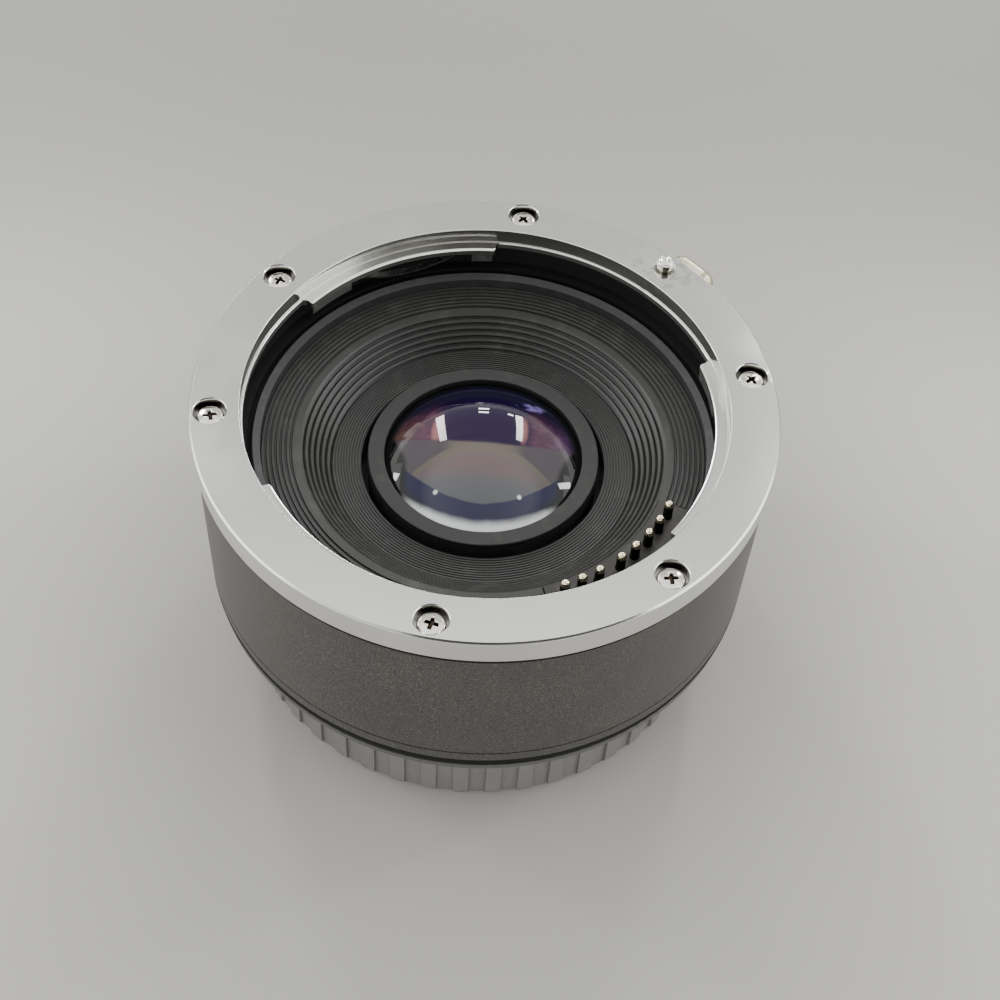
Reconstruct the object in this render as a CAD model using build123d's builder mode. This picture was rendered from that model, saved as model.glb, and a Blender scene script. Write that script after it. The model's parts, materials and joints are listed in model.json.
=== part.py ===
from build123d import *

import math
import os

os.makedirs("parts", exist_ok=True)

# A bayonet teleconverter standing on its rear cap. The lens axis is Z, the cap's underside is Z = 0,
# and the lens side faces up. Angles are counted about Z from +X, as seen from the lens side.
# Lengths are in millimetres, angles in degrees.

# Heights of the stack, from the table up
cap_height = 12.5
cap_running_gap = 0.3
rear_flange_proud = 0.3
rear_flange_thickness = 2.0
body_length = 24.2
shim_thickness = 0.15
front_ring_thickness = 3.2
rear_ring_height = 2.05
body_groove = 0.2

# The body, measured out from the throat
ring_width = 5.5
ring_overhang = 0.3
barrel_wall = 0.6
rear_flange_inset = 1.2
shim_inset = 0.3

# Clearances, how far a cut runs past the face that it opens, and one whole turn
cut_over = 1.0
full_turn = 360
fixed_gap = 0.05
thread_gap = 0.02
running_gap = 0.05
slide_gap = 0.1
bayonet_gap = 0.15
loose_gap = 0.3

# The bayonet that both ends share
throat_r = 27.0
throat_bevel = 0.1
rim_bevel = 0.2
recess_width = 1.0
neck_step = 0.2
neck_bevel = 0.12
trough_depth = 6.05
lens_tab_proud = 1.4
lens_tab_depth = 1.9
lens_tab_thickness = 0.8
lens_tab_corner = 0.3
lens_tab_root = 0.8
lens_tab_bevel_width = 0.4
lens_tab_bevel_height = 0.2
lens_tab_spans = [(91.0, 145.8), (-37.2, 20.6), (-150.0, -93.5)]
lip_set_back = 0.1
lip_width = 0.9
lip_depth = 4.0
lip_end_gaps = (0.6, 0.4)
lip_sweeps = (5.7, 13.6)
lock_turn = 60.0
male_tube_inset = 1.8
male_tube_wall = 1.4
male_tube_length = 6.3
male_tab_thickness = 1.3
male_tab_margin = 4.0

# Screws of the lens-side ring
front_screw_inset = 2.3
front_screw_angles = [84.9, 146.7, -170.7, -96.9, -47.8, 11.6]
front_screw_head_r = 1.5
front_screw_head_height = 0.9
front_screw_turns = [41.0, 73.0, 17.5, 75.0, 6.5, 41.0]
screw_head_round = 0.4
front_screw_shank_r = 0.8
front_screw_length = 4.6
counterbore_r = 1.8
counterbore_depth = 1.5
cross_share = 0.62
cross_width_share = 0.28
cross_depth_share = 0.7

# Lock pin, its carrier and the knob outside the barrel
lock_pin_inset = 2.5
lock_pin_angle = 48.7
lock_pin_r = 0.95
lock_pin_proud = 1.4
lock_pin_round = 0.45
lock_pin_foot_r = 1.2
lock_pin_foot_height = 0.5
lock_pin_mouth_r = 1.22
lock_pin_mouth_depth = 0.35
lock_travel = 1.8
carrier_span = (38.0, 54.0)
carrier_set_back = 0.25
carrier_thickness = 1.6
pocket_margin = 1.5
lock_spring_coil_r = 0.75
lock_spring_wire_r = 0.16
lock_spring_turn_count = 4
lock_spring_room = 3.8
lock_spring_peg_r = 0.45
lock_spring_peg_height = 1.2
knob_angle = 46.2
knob_width = 6.2
knob_height = 5.6
knob_top_depth = 0.9
knob_reach = 2.3
knob_corner = 1.6
knob_edge = 1.2
stem_width = 2.2
stem_height = 1.4
knob_screw_r = 0.5
knob_screw_head_r = 1.0
knob_screw_head_height = 0.6
knob_screw_length = 3.2

# Leaf springs under the tabs, between their lips
leaf_width = 0.8
leaf_thickness = 0.25
leaf_half_sweep = 12.5
leaf_foot_sweep = 3.4
leaf_drop = 1.7
leaf_off_centre = -3.5
leaf_screw_r = 0.25
leaf_screw_grip = 0.6
leaf_screw_head_r = 0.4
leaf_screw_head_height = 0.25

# Sloping ledge of the chassis, the groove behind it and the seat of the baffle
ledge_set_back = 0.95
ledge_width = 0.8
ledge_high_depth = 6.2
ledge_low_depth = 6.6
ledge_groove_width = 0.7
ledge_groove_depth = 6.9
baffle_seat_depth = 8.9
baffle_seat_width = 1.4
chassis_wall = 1.2
web_depth = 16.7
web_thickness = 1.6
web_bore_gap = 0.1
top_ring_depth = 10.4
rear_boss_r = 1.9

# Grooved baffle
baffle_thickness = 1.2
fine_top_depth = 7.7
fine_width = 3.4
fine_end_depth = 7.8
fine_groove_count = 6
fine_groove_depth = 0.22
band_width = 0.9
band_depth = 7.9
cone_width = 3.6
cone_groove_count = 6
cone_groove_depth = 0.4
floor_depth = 10.9
floor_bore_gap = 0.75
floor_groove_count = 10
floor_groove_depth = 0.12

# One groove: shares of its pitch along the face, each with a share of its depth
groove_profile = ((0.0, 0.0), (0.45, 0.0), (0.6, 1.0), (0.85, 1.0))

# Contacts
contact_inset = 4.4
contact_angles = [-64.4, -59.2, -53.6, -46.0, -40.3, -34.4, -28.7, -22.8]
contact_tip_depth = 5.25
contact_pin_r = 0.525
contact_collar_r = 0.78
contact_collar_height = 0.6
contact_tail_r = 0.28
contact_tail_length = 1.4
contact_spring_coil_r = 0.55
contact_spring_wire_r = 0.12
contact_spring_turn_count = 5
contact_guide_height = 1.2
block_span = (-69.0, -18.4)
block_window_margin = 0.3
block_inset = 1.6
block_top_depth = 7.75
block_ear_sweep = 5.0
block_ear_height = 2.5
block_screw_inset = 2.4
block_screw_r = 0.45
block_screw_head_r = 0.9
block_screw_head_height = 0.7
block_screw_length = 2.8
flex_inset = 0.4
flex_thickness = 0.15
flex_span = (-52.0, -36.0)
flex_slot_margin = 1.0

# Circuit board
board_bore_gap = 0.7
board_edge_gap = 0.4
standoff_height = 2.0
board_thickness = 0.8
board_screw_angles = [75.0, 165.0, 255.0]
board_screw_r = 0.6
board_screw_head_r = 1.1
board_screw_head_height = 0.6
board_screw_length = 2.4
standoff_r = 1.5
chip_angles = [20.0, 50.0, 105.0, 135.0, 195.0, 225.0]
chip_length = 4.0
chip_width = 3.0
chip_height = 1.0

# Lens cell and optics
glass_r = 11.95
cell_wall = 1.3
cell_thread_step = 0.5
cell_flange_width = 2.4
cell_flange_height = 1.2
cell_lock_height = 1.4
ring_top_depth = 9.6
ring_flange_height = 0.5
ring_neck_height = 0.3
ring_lap = 0.6
ring_edge = 0.12
front_curve = 20.0
front_back_curve = 40.0
front_rim_height = 1.6
front_spacer_height = 3.2
spacer_wall = 1.1
doublet_front_curve = 45.0
doublet_join_curve = 22.0
doublet_back_curve = 50.0
doublet_front_rim_height = 2.85
doublet_back_rim_height = 0.9
rear_glass_inset = 1.4
rear_ring_lap = 0.8
rear_ring_thread_height = 0.8
cell_step_lap = 1.0
cell_step_height = 2.0
fourth_front_curve = -30.0
fourth_back_curve = -45.0
fourth_middle_height = 0.92
rear_spacer_height = 0.4
rear_front_curve = 60.0
rear_back_curve = 35.0
rear_rim_height = 1.0

# Camera side
rear_boss_gap = 0.25
rear_screw_angles = [15.0, 105.0, 195.0, 285.0]
rear_screw_shank_r = 0.8
rear_screw_head_r = 1.5
rear_screw_head_height = 0.9
rear_screw_sink = 1.0
rear_screw_length = 5.0
rear_ledge_width = 1.2
rear_ledge_thickness = 1.5
contact_press = 0.6
rear_block_height = 2.2
rear_block_gap = 0.1
pad_length = 2.2
pad_width = 1.4
pad_height = 0.1
rear_baffle_thickness = 1.0

# Rear cap
cap_floor = 2.0
cap_wall = 1.1
cap_rib_proud = 0.35
cap_rib_count = 48
cap_recess_sweep = 4.0
cap_first_recess = -86.15
cap_lip_inset = 0.2
cap_lip_height = 1.0
cap_lip_round = 0.25
cap_wall_gap = 0.7
cap_foot_round = 0.5
cap_foot_width = 4.0
cap_dish_depth = 0.4
cap_lug_sweep = 40.0
cap_lug_thickness = 1.15
cap_lug_gap = 0.25

# Alignment marks
lens_mark_angle = 136.0
lens_mark_depth = 6.0
camera_mark_rise = 2.6
mark_r = 1.3
mark_thickness = 0.3
mark_proud = 0.08

# Heights worked out from the stack
rear_face = cap_height + cap_running_gap
ring_low = rear_face + rear_flange_proud
flange_face = ring_low + body_length
shim_top = flange_face - front_ring_thickness
shim_low = shim_top - shim_thickness
ring_high = ring_low + rear_ring_height
barrel_low = ring_high + body_groove
chassis_low = rear_face + rear_flange_thickness
web_high = flange_face - web_depth
web_low = web_high - web_thickness
board_low = web_high + standoff_height
board_high = board_low + board_thickness
block_top = flange_face - block_top_depth
seat_top = flange_face - baffle_seat_depth
top_ring_low = flange_face - top_ring_depth
tab_top = flange_face - lens_tab_depth
tab_low = tab_top - lens_tab_thickness
lip_low = flange_face - lip_depth
leaf_high = tab_low - fixed_gap
leaf_low = leaf_high - leaf_thickness - leaf_drop
ring_top = flange_face - ring_top_depth
cell_high = ring_top - ring_flange_height
ring_neck_low = cell_high - ring_neck_height
male_tube_low = rear_face - male_tube_length
male_tab_high = rear_face - lip_depth - bayonet_gap
male_tab_low = male_tab_high - male_tab_thickness
pad_face = rear_face - contact_tip_depth - contact_press
rear_block_low = pad_face + pad_height
rear_block_high = rear_block_low + rear_block_height
rear_ledge_high = rear_block_high + rear_ledge_thickness

# Radii of the body and the bayonets, worked out from the throat
front_ring_r = throat_r + ring_width
barrel_r = front_ring_r - ring_overhang
chassis_r = barrel_r - barrel_wall - fixed_gap
chassis_hollow_r = chassis_r - chassis_wall
rear_flange_r = barrel_r - rear_flange_inset
recess_r = throat_r + recess_width
neck_r = throat_r - neck_step
lens_tab_inner_r = throat_r - lens_tab_proud
lip_inner_r = lens_tab_inner_r + lip_set_back
lip_outer_r = lip_inner_r + lip_width
leaf_circle_r = (lip_inner_r + lip_outer_r) / 2
male_tube_r = throat_r - male_tube_inset
male_tube_inner_r = male_tube_r - male_tube_wall
male_tab_r = neck_r - slide_gap
front_screw_circle_r = front_ring_r - front_screw_inset
lock_pin_circle_r = front_ring_r - lock_pin_inset
carrier_inner_r = lock_pin_circle_r - lock_pin_foot_r
carrier_outer_r = chassis_r - carrier_set_back
rear_boss_circle_r = chassis_hollow_r - rear_boss_r - rear_boss_gap
rear_ledge_inner_r = male_tube_inner_r - rear_ledge_width

# Radii inside the throat, from the ledge in to the contacts
ledge_outer_r = throat_r - ledge_set_back
ledge_inner_r = ledge_outer_r - ledge_width
ledge_groove_r = ledge_outer_r + ledge_groove_width
seat_inner_r = ledge_inner_r - baffle_seat_width
well_outer_r = seat_inner_r + chassis_wall
baffle_r = ledge_inner_r - slide_gap
fine_end_r = baffle_r - fine_width
band_end_r = fine_end_r - band_width
cone_end_r = band_end_r - cone_width
contact_circle_r = throat_r - contact_inset
block_inner_r = contact_circle_r - block_inset
block_outer_r = baffle_r - slide_gap
block_foot_r = seat_inner_r - slide_gap
block_screw_circle_r = (block_inner_r + block_foot_r) / 2
flex_r = block_inner_r - flex_inset
rear_block_inner_r = flex_r + flex_thickness + fixed_gap

# Radii of the optics and of what goes round their cell
rear_glass_r = glass_r - rear_glass_inset
rear_ring_bore_r = rear_glass_r - rear_ring_lap
cell_step_bore_r = rear_glass_r - cell_step_lap
ring_bore_r = glass_r - ring_lap
cell_front_bore_r = glass_r + fixed_gap
cell_rear_bore_r = rear_glass_r + fixed_gap
front_clear_r = glass_r - spacer_wall
rear_clear_r = rear_glass_r - spacer_wall
cell_r = glass_r + cell_wall
cell_bore_r = glass_r + cell_thread_step
cell_flange_r = cell_r + cell_flange_width
floor_inner_r = cell_r + floor_bore_gap
board_inner_r = cell_flange_r + board_bore_gap
board_outer_r = seat_inner_r - board_edge_gap
board_screw_circle_r = (board_inner_r + board_outer_r) / 2

# Radii of the cap
cap_bore_r = male_tab_r + cap_wall_gap
cap_recess_r = cap_bore_r + cap_wall
cap_rib_r = cap_recess_r + cap_rib_proud
cap_lip_r = barrel_r - cap_lip_inset
cap_dish_r = cap_recess_r - cap_foot_width


def outline(points):
    """A closed flat outline of (radius, height) points in the plane through the lens axis."""
    with BuildSketch(Plane.XZ) as face:
        with BuildLine():
            Polyline(*points, close=True)
        make_face()
    return face.sketch


def sectors(inner_r, outer_r, spans, low, high, mode=Mode.ADD):
    """Blocks between two radii, two heights and pairs of angles, added to the open part or cut."""
    with BuildSketch(Plane.XY.offset(low)) as faces:
        for start, end in spans:
            with BuildLine():
                outer = CenterArc((0, 0), outer_r, start, end - start)
                inner = CenterArc((0, 0), inner_r, start, end - start)
                Line(outer @ 0, inner @ 0)
                Line(outer @ 1, inner @ 1)
            make_face()
    extrude(faces.sketch, amount=high - low, mode=mode)


def turned(points, mode=Mode.ADD):
    """A ring turned about the lens axis from (radius, height) points, added or cut."""
    revolve(outline(points), axis=Axis.Z, mode=mode)


def tube(inner_r, outer_r, low, high, mode=Mode.ADD):
    """A plain ring between two radii and two heights."""
    turned([(inner_r, low), (outer_r, low), (outer_r, high), (inner_r, high)], mode)


def rods(radius, low, high, circle_r, angles, mode=Mode.ADD):
    """Upright round rods at some angles on a circle, added to the open part or cut from it."""
    with BuildSketch(Plane.XY.offset(low)) as face:
        for angle in angles:
            with Locations(at_angle(circle_r, angle)):
                Circle(radius)
    extrude(face.sketch, amount=high - low, mode=mode)


def at_angle(radius, angle):
    """The point at a radius and an angle about the lens axis."""
    return (radius * math.cos(math.radians(angle)), radius * math.sin(math.radians(angle)))


def corners_at(sketch, radius):
    """The corners of an open sketch that lie at a radius from the lens axis."""
    return sketch.vertices().filter_by(
        lambda corner: abs(math.hypot(corner.X, corner.Y) - radius) < fixed_gap
    )


def grooved(start, end, count, depth):
    """Points along a straight face from start up to end, with a number of grooves cut below it."""
    run = math.hypot(end[0] - start[0], end[1] - start[1])
    along = ((end[0] - start[0]) / run, (end[1] - start[1]) / run)
    below = (-along[1], along[0])
    points = []
    for index in range(count):
        for share, depth_share in groove_profile:
            distance = (index + share) * run / count
            sink = depth * depth_share
            points.append(
                (
                    start[0] + along[0] * distance + below[0] * sink,
                    start[1] + along[1] * distance + below[1] * sink,
                )
            )
    return points


def bulge(curve_r, radius):
    """How far a spherical face stands out at its middle. A hollow face has a curve below zero."""
    return math.copysign(abs(curve_r) - math.sqrt(curve_r**2 - radius**2), curve_r)


def glass_outline(radius, rim_high, rim_low, front_curve_r, back_curve_r):
    """Half the section of a round glass element, from its rim and the curves of its two faces."""
    crown = rim_high + bulge(front_curve_r, radius)
    bottom = rim_low - bulge(back_curve_r, radius)
    half = radius / 2
    with BuildSketch(Plane.XZ) as face:
        with BuildLine():
            Line((0, bottom), (0, crown))
            ThreePointArc((0, crown), (half, crown - bulge(front_curve_r, half)), (radius, rim_high))
            Line((radius, rim_high), (radius, rim_low))
            ThreePointArc((radius, rim_low), (half, bottom + bulge(back_curve_r, half)), (0, bottom))
        make_face()
    return face.sketch


def biarc_reach(chord, leave, arrive):
    """The equal reach of the two tangents of a pair of arcs that joins two points smoothly."""
    along = chord.dot(leave + arrive)
    spread = 2 * (1 - leave.dot(arrive))
    return (-along + math.sqrt(along**2 + spread * chord.dot(chord))) / spread


def coil(coil_r, wire_r, low, high, turns, centre):
    """One unbroken coil spring, swept along pairs of tangent arcs, added to the open part."""
    climb = (high - low - 2 * wire_r) / turns
    slope = climb / (2 * math.pi)

    def point(turn):
        angle = 2 * math.pi * turn
        x, y = at_angle(coil_r, math.degrees(angle))
        return Vector(centre[0] + x, centre[1] + y, low + wire_r + slope * angle)

    def heading(turn):
        angle = 2 * math.pi * turn
        return Vector(-coil_r * math.sin(angle), coil_r * math.cos(angle), slope).normalized()

    with BuildLine() as path:
        for index in range(4 * turns):
            first, last = point(index / 4), point((index + 1) / 4)
            leave, arrive = heading(index / 4), heading((index + 1) / 4)
            reach = biarc_reach(last - first, leave, arrive)
            middle = (first + leave * reach + last - arrive * reach) / 2
            near_half = TangentArc(first, middle, tangent=leave)
            TangentArc(middle, last, tangent=near_half % 1)
    with BuildSketch(Plane(origin=point(0), z_dir=heading(0))) as wire:
        Circle(wire_r)
    sweep(wire.sketch, path=path.line)
    return climb - 2 * wire_r


def screw(head_r, head_height, shank_r, length):
    """A cross-head screw at the origin, head up, with the underside of its head at height 0."""
    edge = min(screw_head_round, head_height / 2, head_r / 2)
    with BuildSketch(Plane.XZ) as half:
        with BuildLine():
            Polyline(
                (head_r, head_height - edge), (head_r, 0), (shank_r, 0), (shank_r, -length), (0, -length),
                (0, head_height), (head_r - edge, head_height),
            )
            RadiusArc((head_r - edge, head_height), (head_r, head_height - edge), edge)
        make_face()
    revolve(half.sketch, axis=Axis.Z)
    reach = 2 * head_r * cross_share
    width = reach * cross_width_share
    with BuildSketch(Plane.XY.offset(head_height)) as cross:
        Rectangle(reach, width)
        Rectangle(width, reach)
    extrude(cross.sketch, amount=-head_height * cross_depth_share, mode=Mode.SUBTRACT)


def copies(piece, circle_r, angles, height, turns=None, flip=False):
    """Copies of a piece made at the origin, at some angles on a circle, added to the open part."""
    turns = turns or [0] * len(angles)
    for angle, turn in zip(angles, turns):
        x, y = at_angle(circle_r, angle)
        with Locations(Location((x, y, height), (180 if flip else 0, 0, turn))):
            add(piece)


def radial_plane(radius, angle, height):
    """A plane facing away from the lens axis, with its X level and its Y up."""
    x, y = at_angle(radius, angle)
    away = at_angle(1, angle)
    return Plane(origin=(x, y, height), x_dir=(-away[1], away[0], 0), z_dir=(away[0], away[1], 0))


def save(part, name):
    """Label a finished piece and write it."""
    part.label = name
    export_step(part, f"parts/{name}.step")


def save_group(part, name):
    """Write a piece that is several separate solids."""
    save(Compound(children=list(part.solids())), name)


# The polished lens-side ring with its throat, tabs and the lips that hang behind them
lip_spans = []
for start, end in lens_tab_spans:
    near, far = start + lip_end_gaps[0], end - lip_end_gaps[1]
    lip_spans += [(near, near + lip_sweeps[0]), (far - lip_sweeps[1], far)]
tab_plan_r = neck_r + neck_bevel
tab_root_r = (neck_r + recess_r) / 2
leaf_angles = [(start + end) / 2 + leaf_off_centre for start, end in lens_tab_spans]
leaf_screw_angles = [angle + leaf_half_sweep + leaf_foot_sweep / 2 for angle in leaf_angles]
with BuildPart() as front_mount:
    turned(
        [
            (throat_r, flange_face - throat_bevel),
            (throat_r + throat_bevel, flange_face),
            (front_ring_r - rim_bevel, flange_face),
            (front_ring_r, flange_face - rim_bevel),
            (front_ring_r, shim_top),
            (recess_r, shim_top),
            (recess_r, tab_low),
            (neck_r, tab_low),
            (neck_r, tab_top - neck_bevel),
            (tab_plan_r, tab_top),
            (throat_r, tab_top),
        ]
    )
    with BuildSketch(Plane.XY.offset(tab_low)) as tab_plan:
        Circle(recess_r)
        Circle(tab_plan_r, mode=Mode.SUBTRACT)
        for start, end in lens_tab_spans:
            with BuildLine():
                tab_outer = CenterArc((0, 0), tab_root_r, start, end - start)
                tab_inner = CenterArc((0, 0), lens_tab_inner_r, start, end - start)
                Line(tab_outer @ 0, tab_inner @ 0)
                Line(tab_outer @ 1, tab_inner @ 1)
            make_face()
        fillet(corners_at(tab_plan, tab_plan_r), lens_tab_root)
        fillet(corners_at(tab_plan, lens_tab_inner_r), lens_tab_corner)
    extrude(tab_plan.sketch, amount=tab_top - tab_low)
    turned(
        [
            (lens_tab_inner_r - lens_tab_bevel_width, tab_top - 2 * lens_tab_bevel_height),
            (lens_tab_inner_r + lens_tab_bevel_width, tab_top),
            (lens_tab_inner_r + lens_tab_bevel_width, tab_top + cut_over),
            (lens_tab_inner_r - lens_tab_bevel_width, tab_top + cut_over),
        ],
        Mode.SUBTRACT,
    )
    sectors(lip_inner_r, lip_outer_r, lip_spans, lip_low, tab_low)
    rods(
        leaf_screw_r + thread_gap, tab_low, tab_low + leaf_screw_grip + thread_gap,
        leaf_circle_r, leaf_screw_angles, Mode.SUBTRACT,
    )
    screw_seat = flange_face - counterbore_depth
    over = flange_face + cut_over
    under = shim_top - cut_over
    screw_hole_r = front_screw_shank_r + fixed_gap
    rods(counterbore_r, screw_seat, over, front_screw_circle_r, front_screw_angles, Mode.SUBTRACT)
    rods(screw_hole_r, under, over, front_screw_circle_r, front_screw_angles, Mode.SUBTRACT)
    mouth_low = flange_face - lock_pin_mouth_depth
    rods(lock_pin_mouth_r, mouth_low, over, lock_pin_circle_r, [lock_pin_angle], Mode.SUBTRACT)
    rods(lock_pin_r + running_gap, under, over, lock_pin_circle_r, [lock_pin_angle], Mode.SUBTRACT)
save(front_mount.part, "front_mount")

with BuildPart() as front_screw:
    screw(front_screw_head_r, front_screw_head_height, front_screw_shank_r, front_screw_length)
with BuildPart() as front_mount_screws:
    copies(front_screw.part, front_screw_circle_r, front_screw_angles, screw_seat, front_screw_turns)
save_group(front_mount_screws.part, "front_mount_screws")

# The shim shows as the dark line under the ring
with BuildPart() as front_shim:
    tube(recess_r, barrel_r - shim_inset, shim_low, shim_top)
    rods(screw_hole_r, shim_low, shim_top, front_screw_circle_r, front_screw_angles, Mode.SUBTRACT)
    rods(lock_pin_foot_r, shim_low, shim_top, lock_pin_circle_r, [lock_pin_angle], Mode.SUBTRACT)
save(front_shim.part, "front_shim")

# The lock: pin, carrier, knob and the spring that lifts them
carrier_high = shim_low - bayonet_gap
carrier_low = carrier_high - carrier_thickness
foot_low = carrier_low - lock_pin_foot_height
pocket_low = foot_low - lock_spring_room
pin_tip = flange_face + lock_pin_proud
lock_x, lock_y = at_angle(lock_pin_circle_r, lock_pin_angle)
stem_middle = (carrier_high + carrier_low) / 2
knob_inner_r = front_ring_r + loose_gap

with BuildPart() as lock_pin:
    rods(lock_pin_r, foot_low, pin_tip, lock_pin_circle_r, [lock_pin_angle])
    fillet(lock_pin.edges().group_by(Axis.Z)[-1], lock_pin_round)
    rods(lock_pin_foot_r, foot_low, carrier_low, lock_pin_circle_r, [lock_pin_angle])
save(lock_pin.part, "lock_pin")

with BuildPart() as lock_carrier:
    sectors(carrier_inner_r, carrier_outer_r, [carrier_span], carrier_low, carrier_high)
    with BuildSketch(radial_plane(carrier_inner_r, knob_angle, stem_middle)) as stem:
        Rectangle(stem_width, stem_height)
    extrude(stem.sketch, amount=knob_inner_r - carrier_inner_r)
    rods(lock_pin_r, carrier_low, carrier_high, lock_pin_circle_r, [lock_pin_angle], Mode.SUBTRACT)
    with BuildSketch(radial_plane(knob_inner_r, knob_angle, stem_middle)) as screw_hole:
        Circle(knob_screw_r + thread_gap)
    knob_screw_grip = knob_screw_length - knob_reach + knob_screw_head_height
    extrude(screw_hole.sketch, amount=-knob_screw_grip, mode=Mode.SUBTRACT)
save(lock_carrier.part, "lock_carrier")

knob_top = flange_face - knob_top_depth
knob_middle = knob_top - knob_height / 2
with BuildPart() as release_knob:
    with BuildSketch(radial_plane(knob_inner_r, knob_angle, knob_middle)) as knob_face:
        RectangleRounded(knob_width, knob_height, knob_corner)
    extrude(knob_face.sketch, amount=knob_reach)
    knob_outline = release_knob.faces().sort_by_distance((0, 0, knob_middle))[-1]
    fillet(knob_outline.edges(), knob_edge)
    knob_outer_r = knob_inner_r + knob_reach
    with BuildSketch(radial_plane(knob_outer_r, knob_angle, stem_middle)) as head_seat:
        Circle(knob_screw_head_r + fixed_gap)
    extrude(head_seat.sketch, amount=-knob_screw_head_height, mode=Mode.SUBTRACT)
    with BuildSketch(radial_plane(knob_outer_r, knob_angle, stem_middle)) as shank_hole:
        Circle(knob_screw_r + thread_gap)
    extrude(shank_hole.sketch, amount=-knob_reach, mode=Mode.SUBTRACT)
save(release_knob.part, "release_knob")

with BuildPart() as knob_screw:
    screw(knob_screw_head_r, knob_screw_head_height, knob_screw_r, knob_screw_length)
seat_plane = radial_plane(knob_outer_r - knob_screw_head_height, knob_angle, stem_middle)
with BuildPart() as release_knob_screw:
    with Locations(seat_plane.location):
        add(knob_screw.part)
save(release_knob_screw.part, "release_knob_screw")

with BuildPart() as lock_spring:
    spring_gap = coil(
        lock_spring_coil_r, lock_spring_wire_r, pocket_low + fixed_gap, foot_low - fixed_gap,
        lock_spring_turn_count, (lock_x, lock_y),
    )
print(f"lock spring: least gap between turns {spring_gap:.2f} mm")
save(lock_spring.part, "lock_spring")

# The barrel, its slot for the knob's stem, and the ring below the fine groove
slot_low = stem_middle - stem_height / 2 - lock_travel - loose_gap
with BuildPart() as barrel:
    tube(barrel_r - barrel_wall, barrel_r, barrel_low, shim_low)
    with BuildSketch(radial_plane(chassis_r - cut_over, knob_angle, (slot_low + shim_low) / 2)) as slot:
        Rectangle(stem_width + 2 * loose_gap, shim_low - slot_low)
    extrude(slot.sketch, amount=barrel_r - chassis_r + 2 * cut_over, mode=Mode.SUBTRACT)
    lens_mark_height = flange_face - lens_mark_depth
    camera_mark_angle = lens_mark_angle - lock_turn
    camera_mark_height = barrel_low + camera_mark_rise
    marks = ((lens_mark_angle, lens_mark_height), (camera_mark_angle, camera_mark_height))
    mark_floor_r = barrel_r + mark_proud - mark_thickness
    for angle, height in marks:
        with BuildSketch(radial_plane(mark_floor_r, angle, height)) as pocket:
            Circle(mark_r)
        extrude(pocket.sketch, amount=mark_thickness + cut_over, mode=Mode.SUBTRACT)
save(barrel.part, "barrel")

for name, (angle, height) in zip(("lens_index_dot", "camera_index_dot"), marks):
    with BuildPart() as index_dot:
        with BuildSketch(radial_plane(mark_floor_r, angle, height)) as disc:
            Circle(mark_r - thread_gap)
        extrude(disc.sketch, amount=mark_thickness)
        tube(chassis_r, barrel_r + mark_proud, height - mark_r, height + mark_r, Mode.INTERSECT)
    save(index_dot.part, name)

with BuildPart() as rear_ring:
    turned(
        [
            (rear_flange_r + slide_gap, ring_low),
            (barrel_r, ring_low),
            (barrel_r, ring_high),
            (chassis_r + fixed_gap, ring_high),
            (chassis_r + fixed_gap, chassis_low),
            (rear_flange_r + slide_gap, chassis_low),
        ]
    )
save(rear_ring.part, "rear_ring")

# The chassis carries both bayonets, the lens cell, the board and the grooved baffle
trough_low = flange_face - trough_depth
ledge_groove_low = flange_face - ledge_groove_depth
front_thread_low = screw_seat - front_screw_length - thread_gap
rear_thread_high = rear_face + rear_screw_sink + rear_screw_length + thread_gap
pocket_span = (carrier_span[0] - pocket_margin, carrier_span[1] + pocket_margin)
flex_slot_span = (flex_span[0] - flex_slot_margin, flex_span[1] + flex_slot_margin)
web_bore_r = cell_r + web_bore_gap
with BuildPart() as chassis:
    turned(
        [
            (recess_r, shim_low),
            (chassis_r, shim_low),
            (chassis_r, chassis_low),
            (chassis_hollow_r, chassis_low),
            (chassis_hollow_r, top_ring_low),
            (well_outer_r, top_ring_low),
            (well_outer_r, web_low),
            (web_bore_r, web_low),
            (web_bore_r, web_high),
            (seat_inner_r, web_high),
            (seat_inner_r, seat_top),
            (ledge_inner_r, seat_top),
            (ledge_inner_r, flange_face - ledge_low_depth),
            (ledge_outer_r, flange_face - ledge_high_depth),
            (ledge_outer_r, ledge_groove_low),
            (ledge_groove_r, ledge_groove_low),
            (ledge_groove_r, trough_low),
            (recess_r, trough_low),
        ]
    )
    rods(standoff_r, web_high, board_low, board_screw_circle_r, board_screw_angles)
    rods(rear_boss_r, chassis_low, top_ring_low, rear_boss_circle_r, rear_screw_angles)
    rods(
        rear_screw_shank_r + thread_gap, chassis_low, rear_thread_high,
        rear_boss_circle_r, rear_screw_angles, Mode.SUBTRACT,
    )
    rods(
        front_screw_shank_r + thread_gap, front_thread_low, shim_low,
        front_screw_circle_r, front_screw_angles, Mode.SUBTRACT,
    )
    board_thread_low = board_high - board_screw_length - thread_gap
    rods(
        board_screw_r + thread_gap, board_thread_low, board_low,
        board_screw_circle_r, board_screw_angles, Mode.SUBTRACT,
    )
    sectors(
        flex_r - loose_gap, flex_r + flex_thickness + loose_gap, [flex_slot_span],
        web_low, web_high, Mode.SUBTRACT,
    )
    sectors(
        carrier_inner_r - slide_gap, chassis_r + cut_over, [pocket_span],
        pocket_low, shim_low, Mode.SUBTRACT,
    )
    peg_high = pocket_low + lock_spring_peg_height
    rods(lock_spring_peg_r, pocket_low, peg_high, lock_pin_circle_r, [lock_pin_angle])
save(chassis.part, "chassis")

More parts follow.
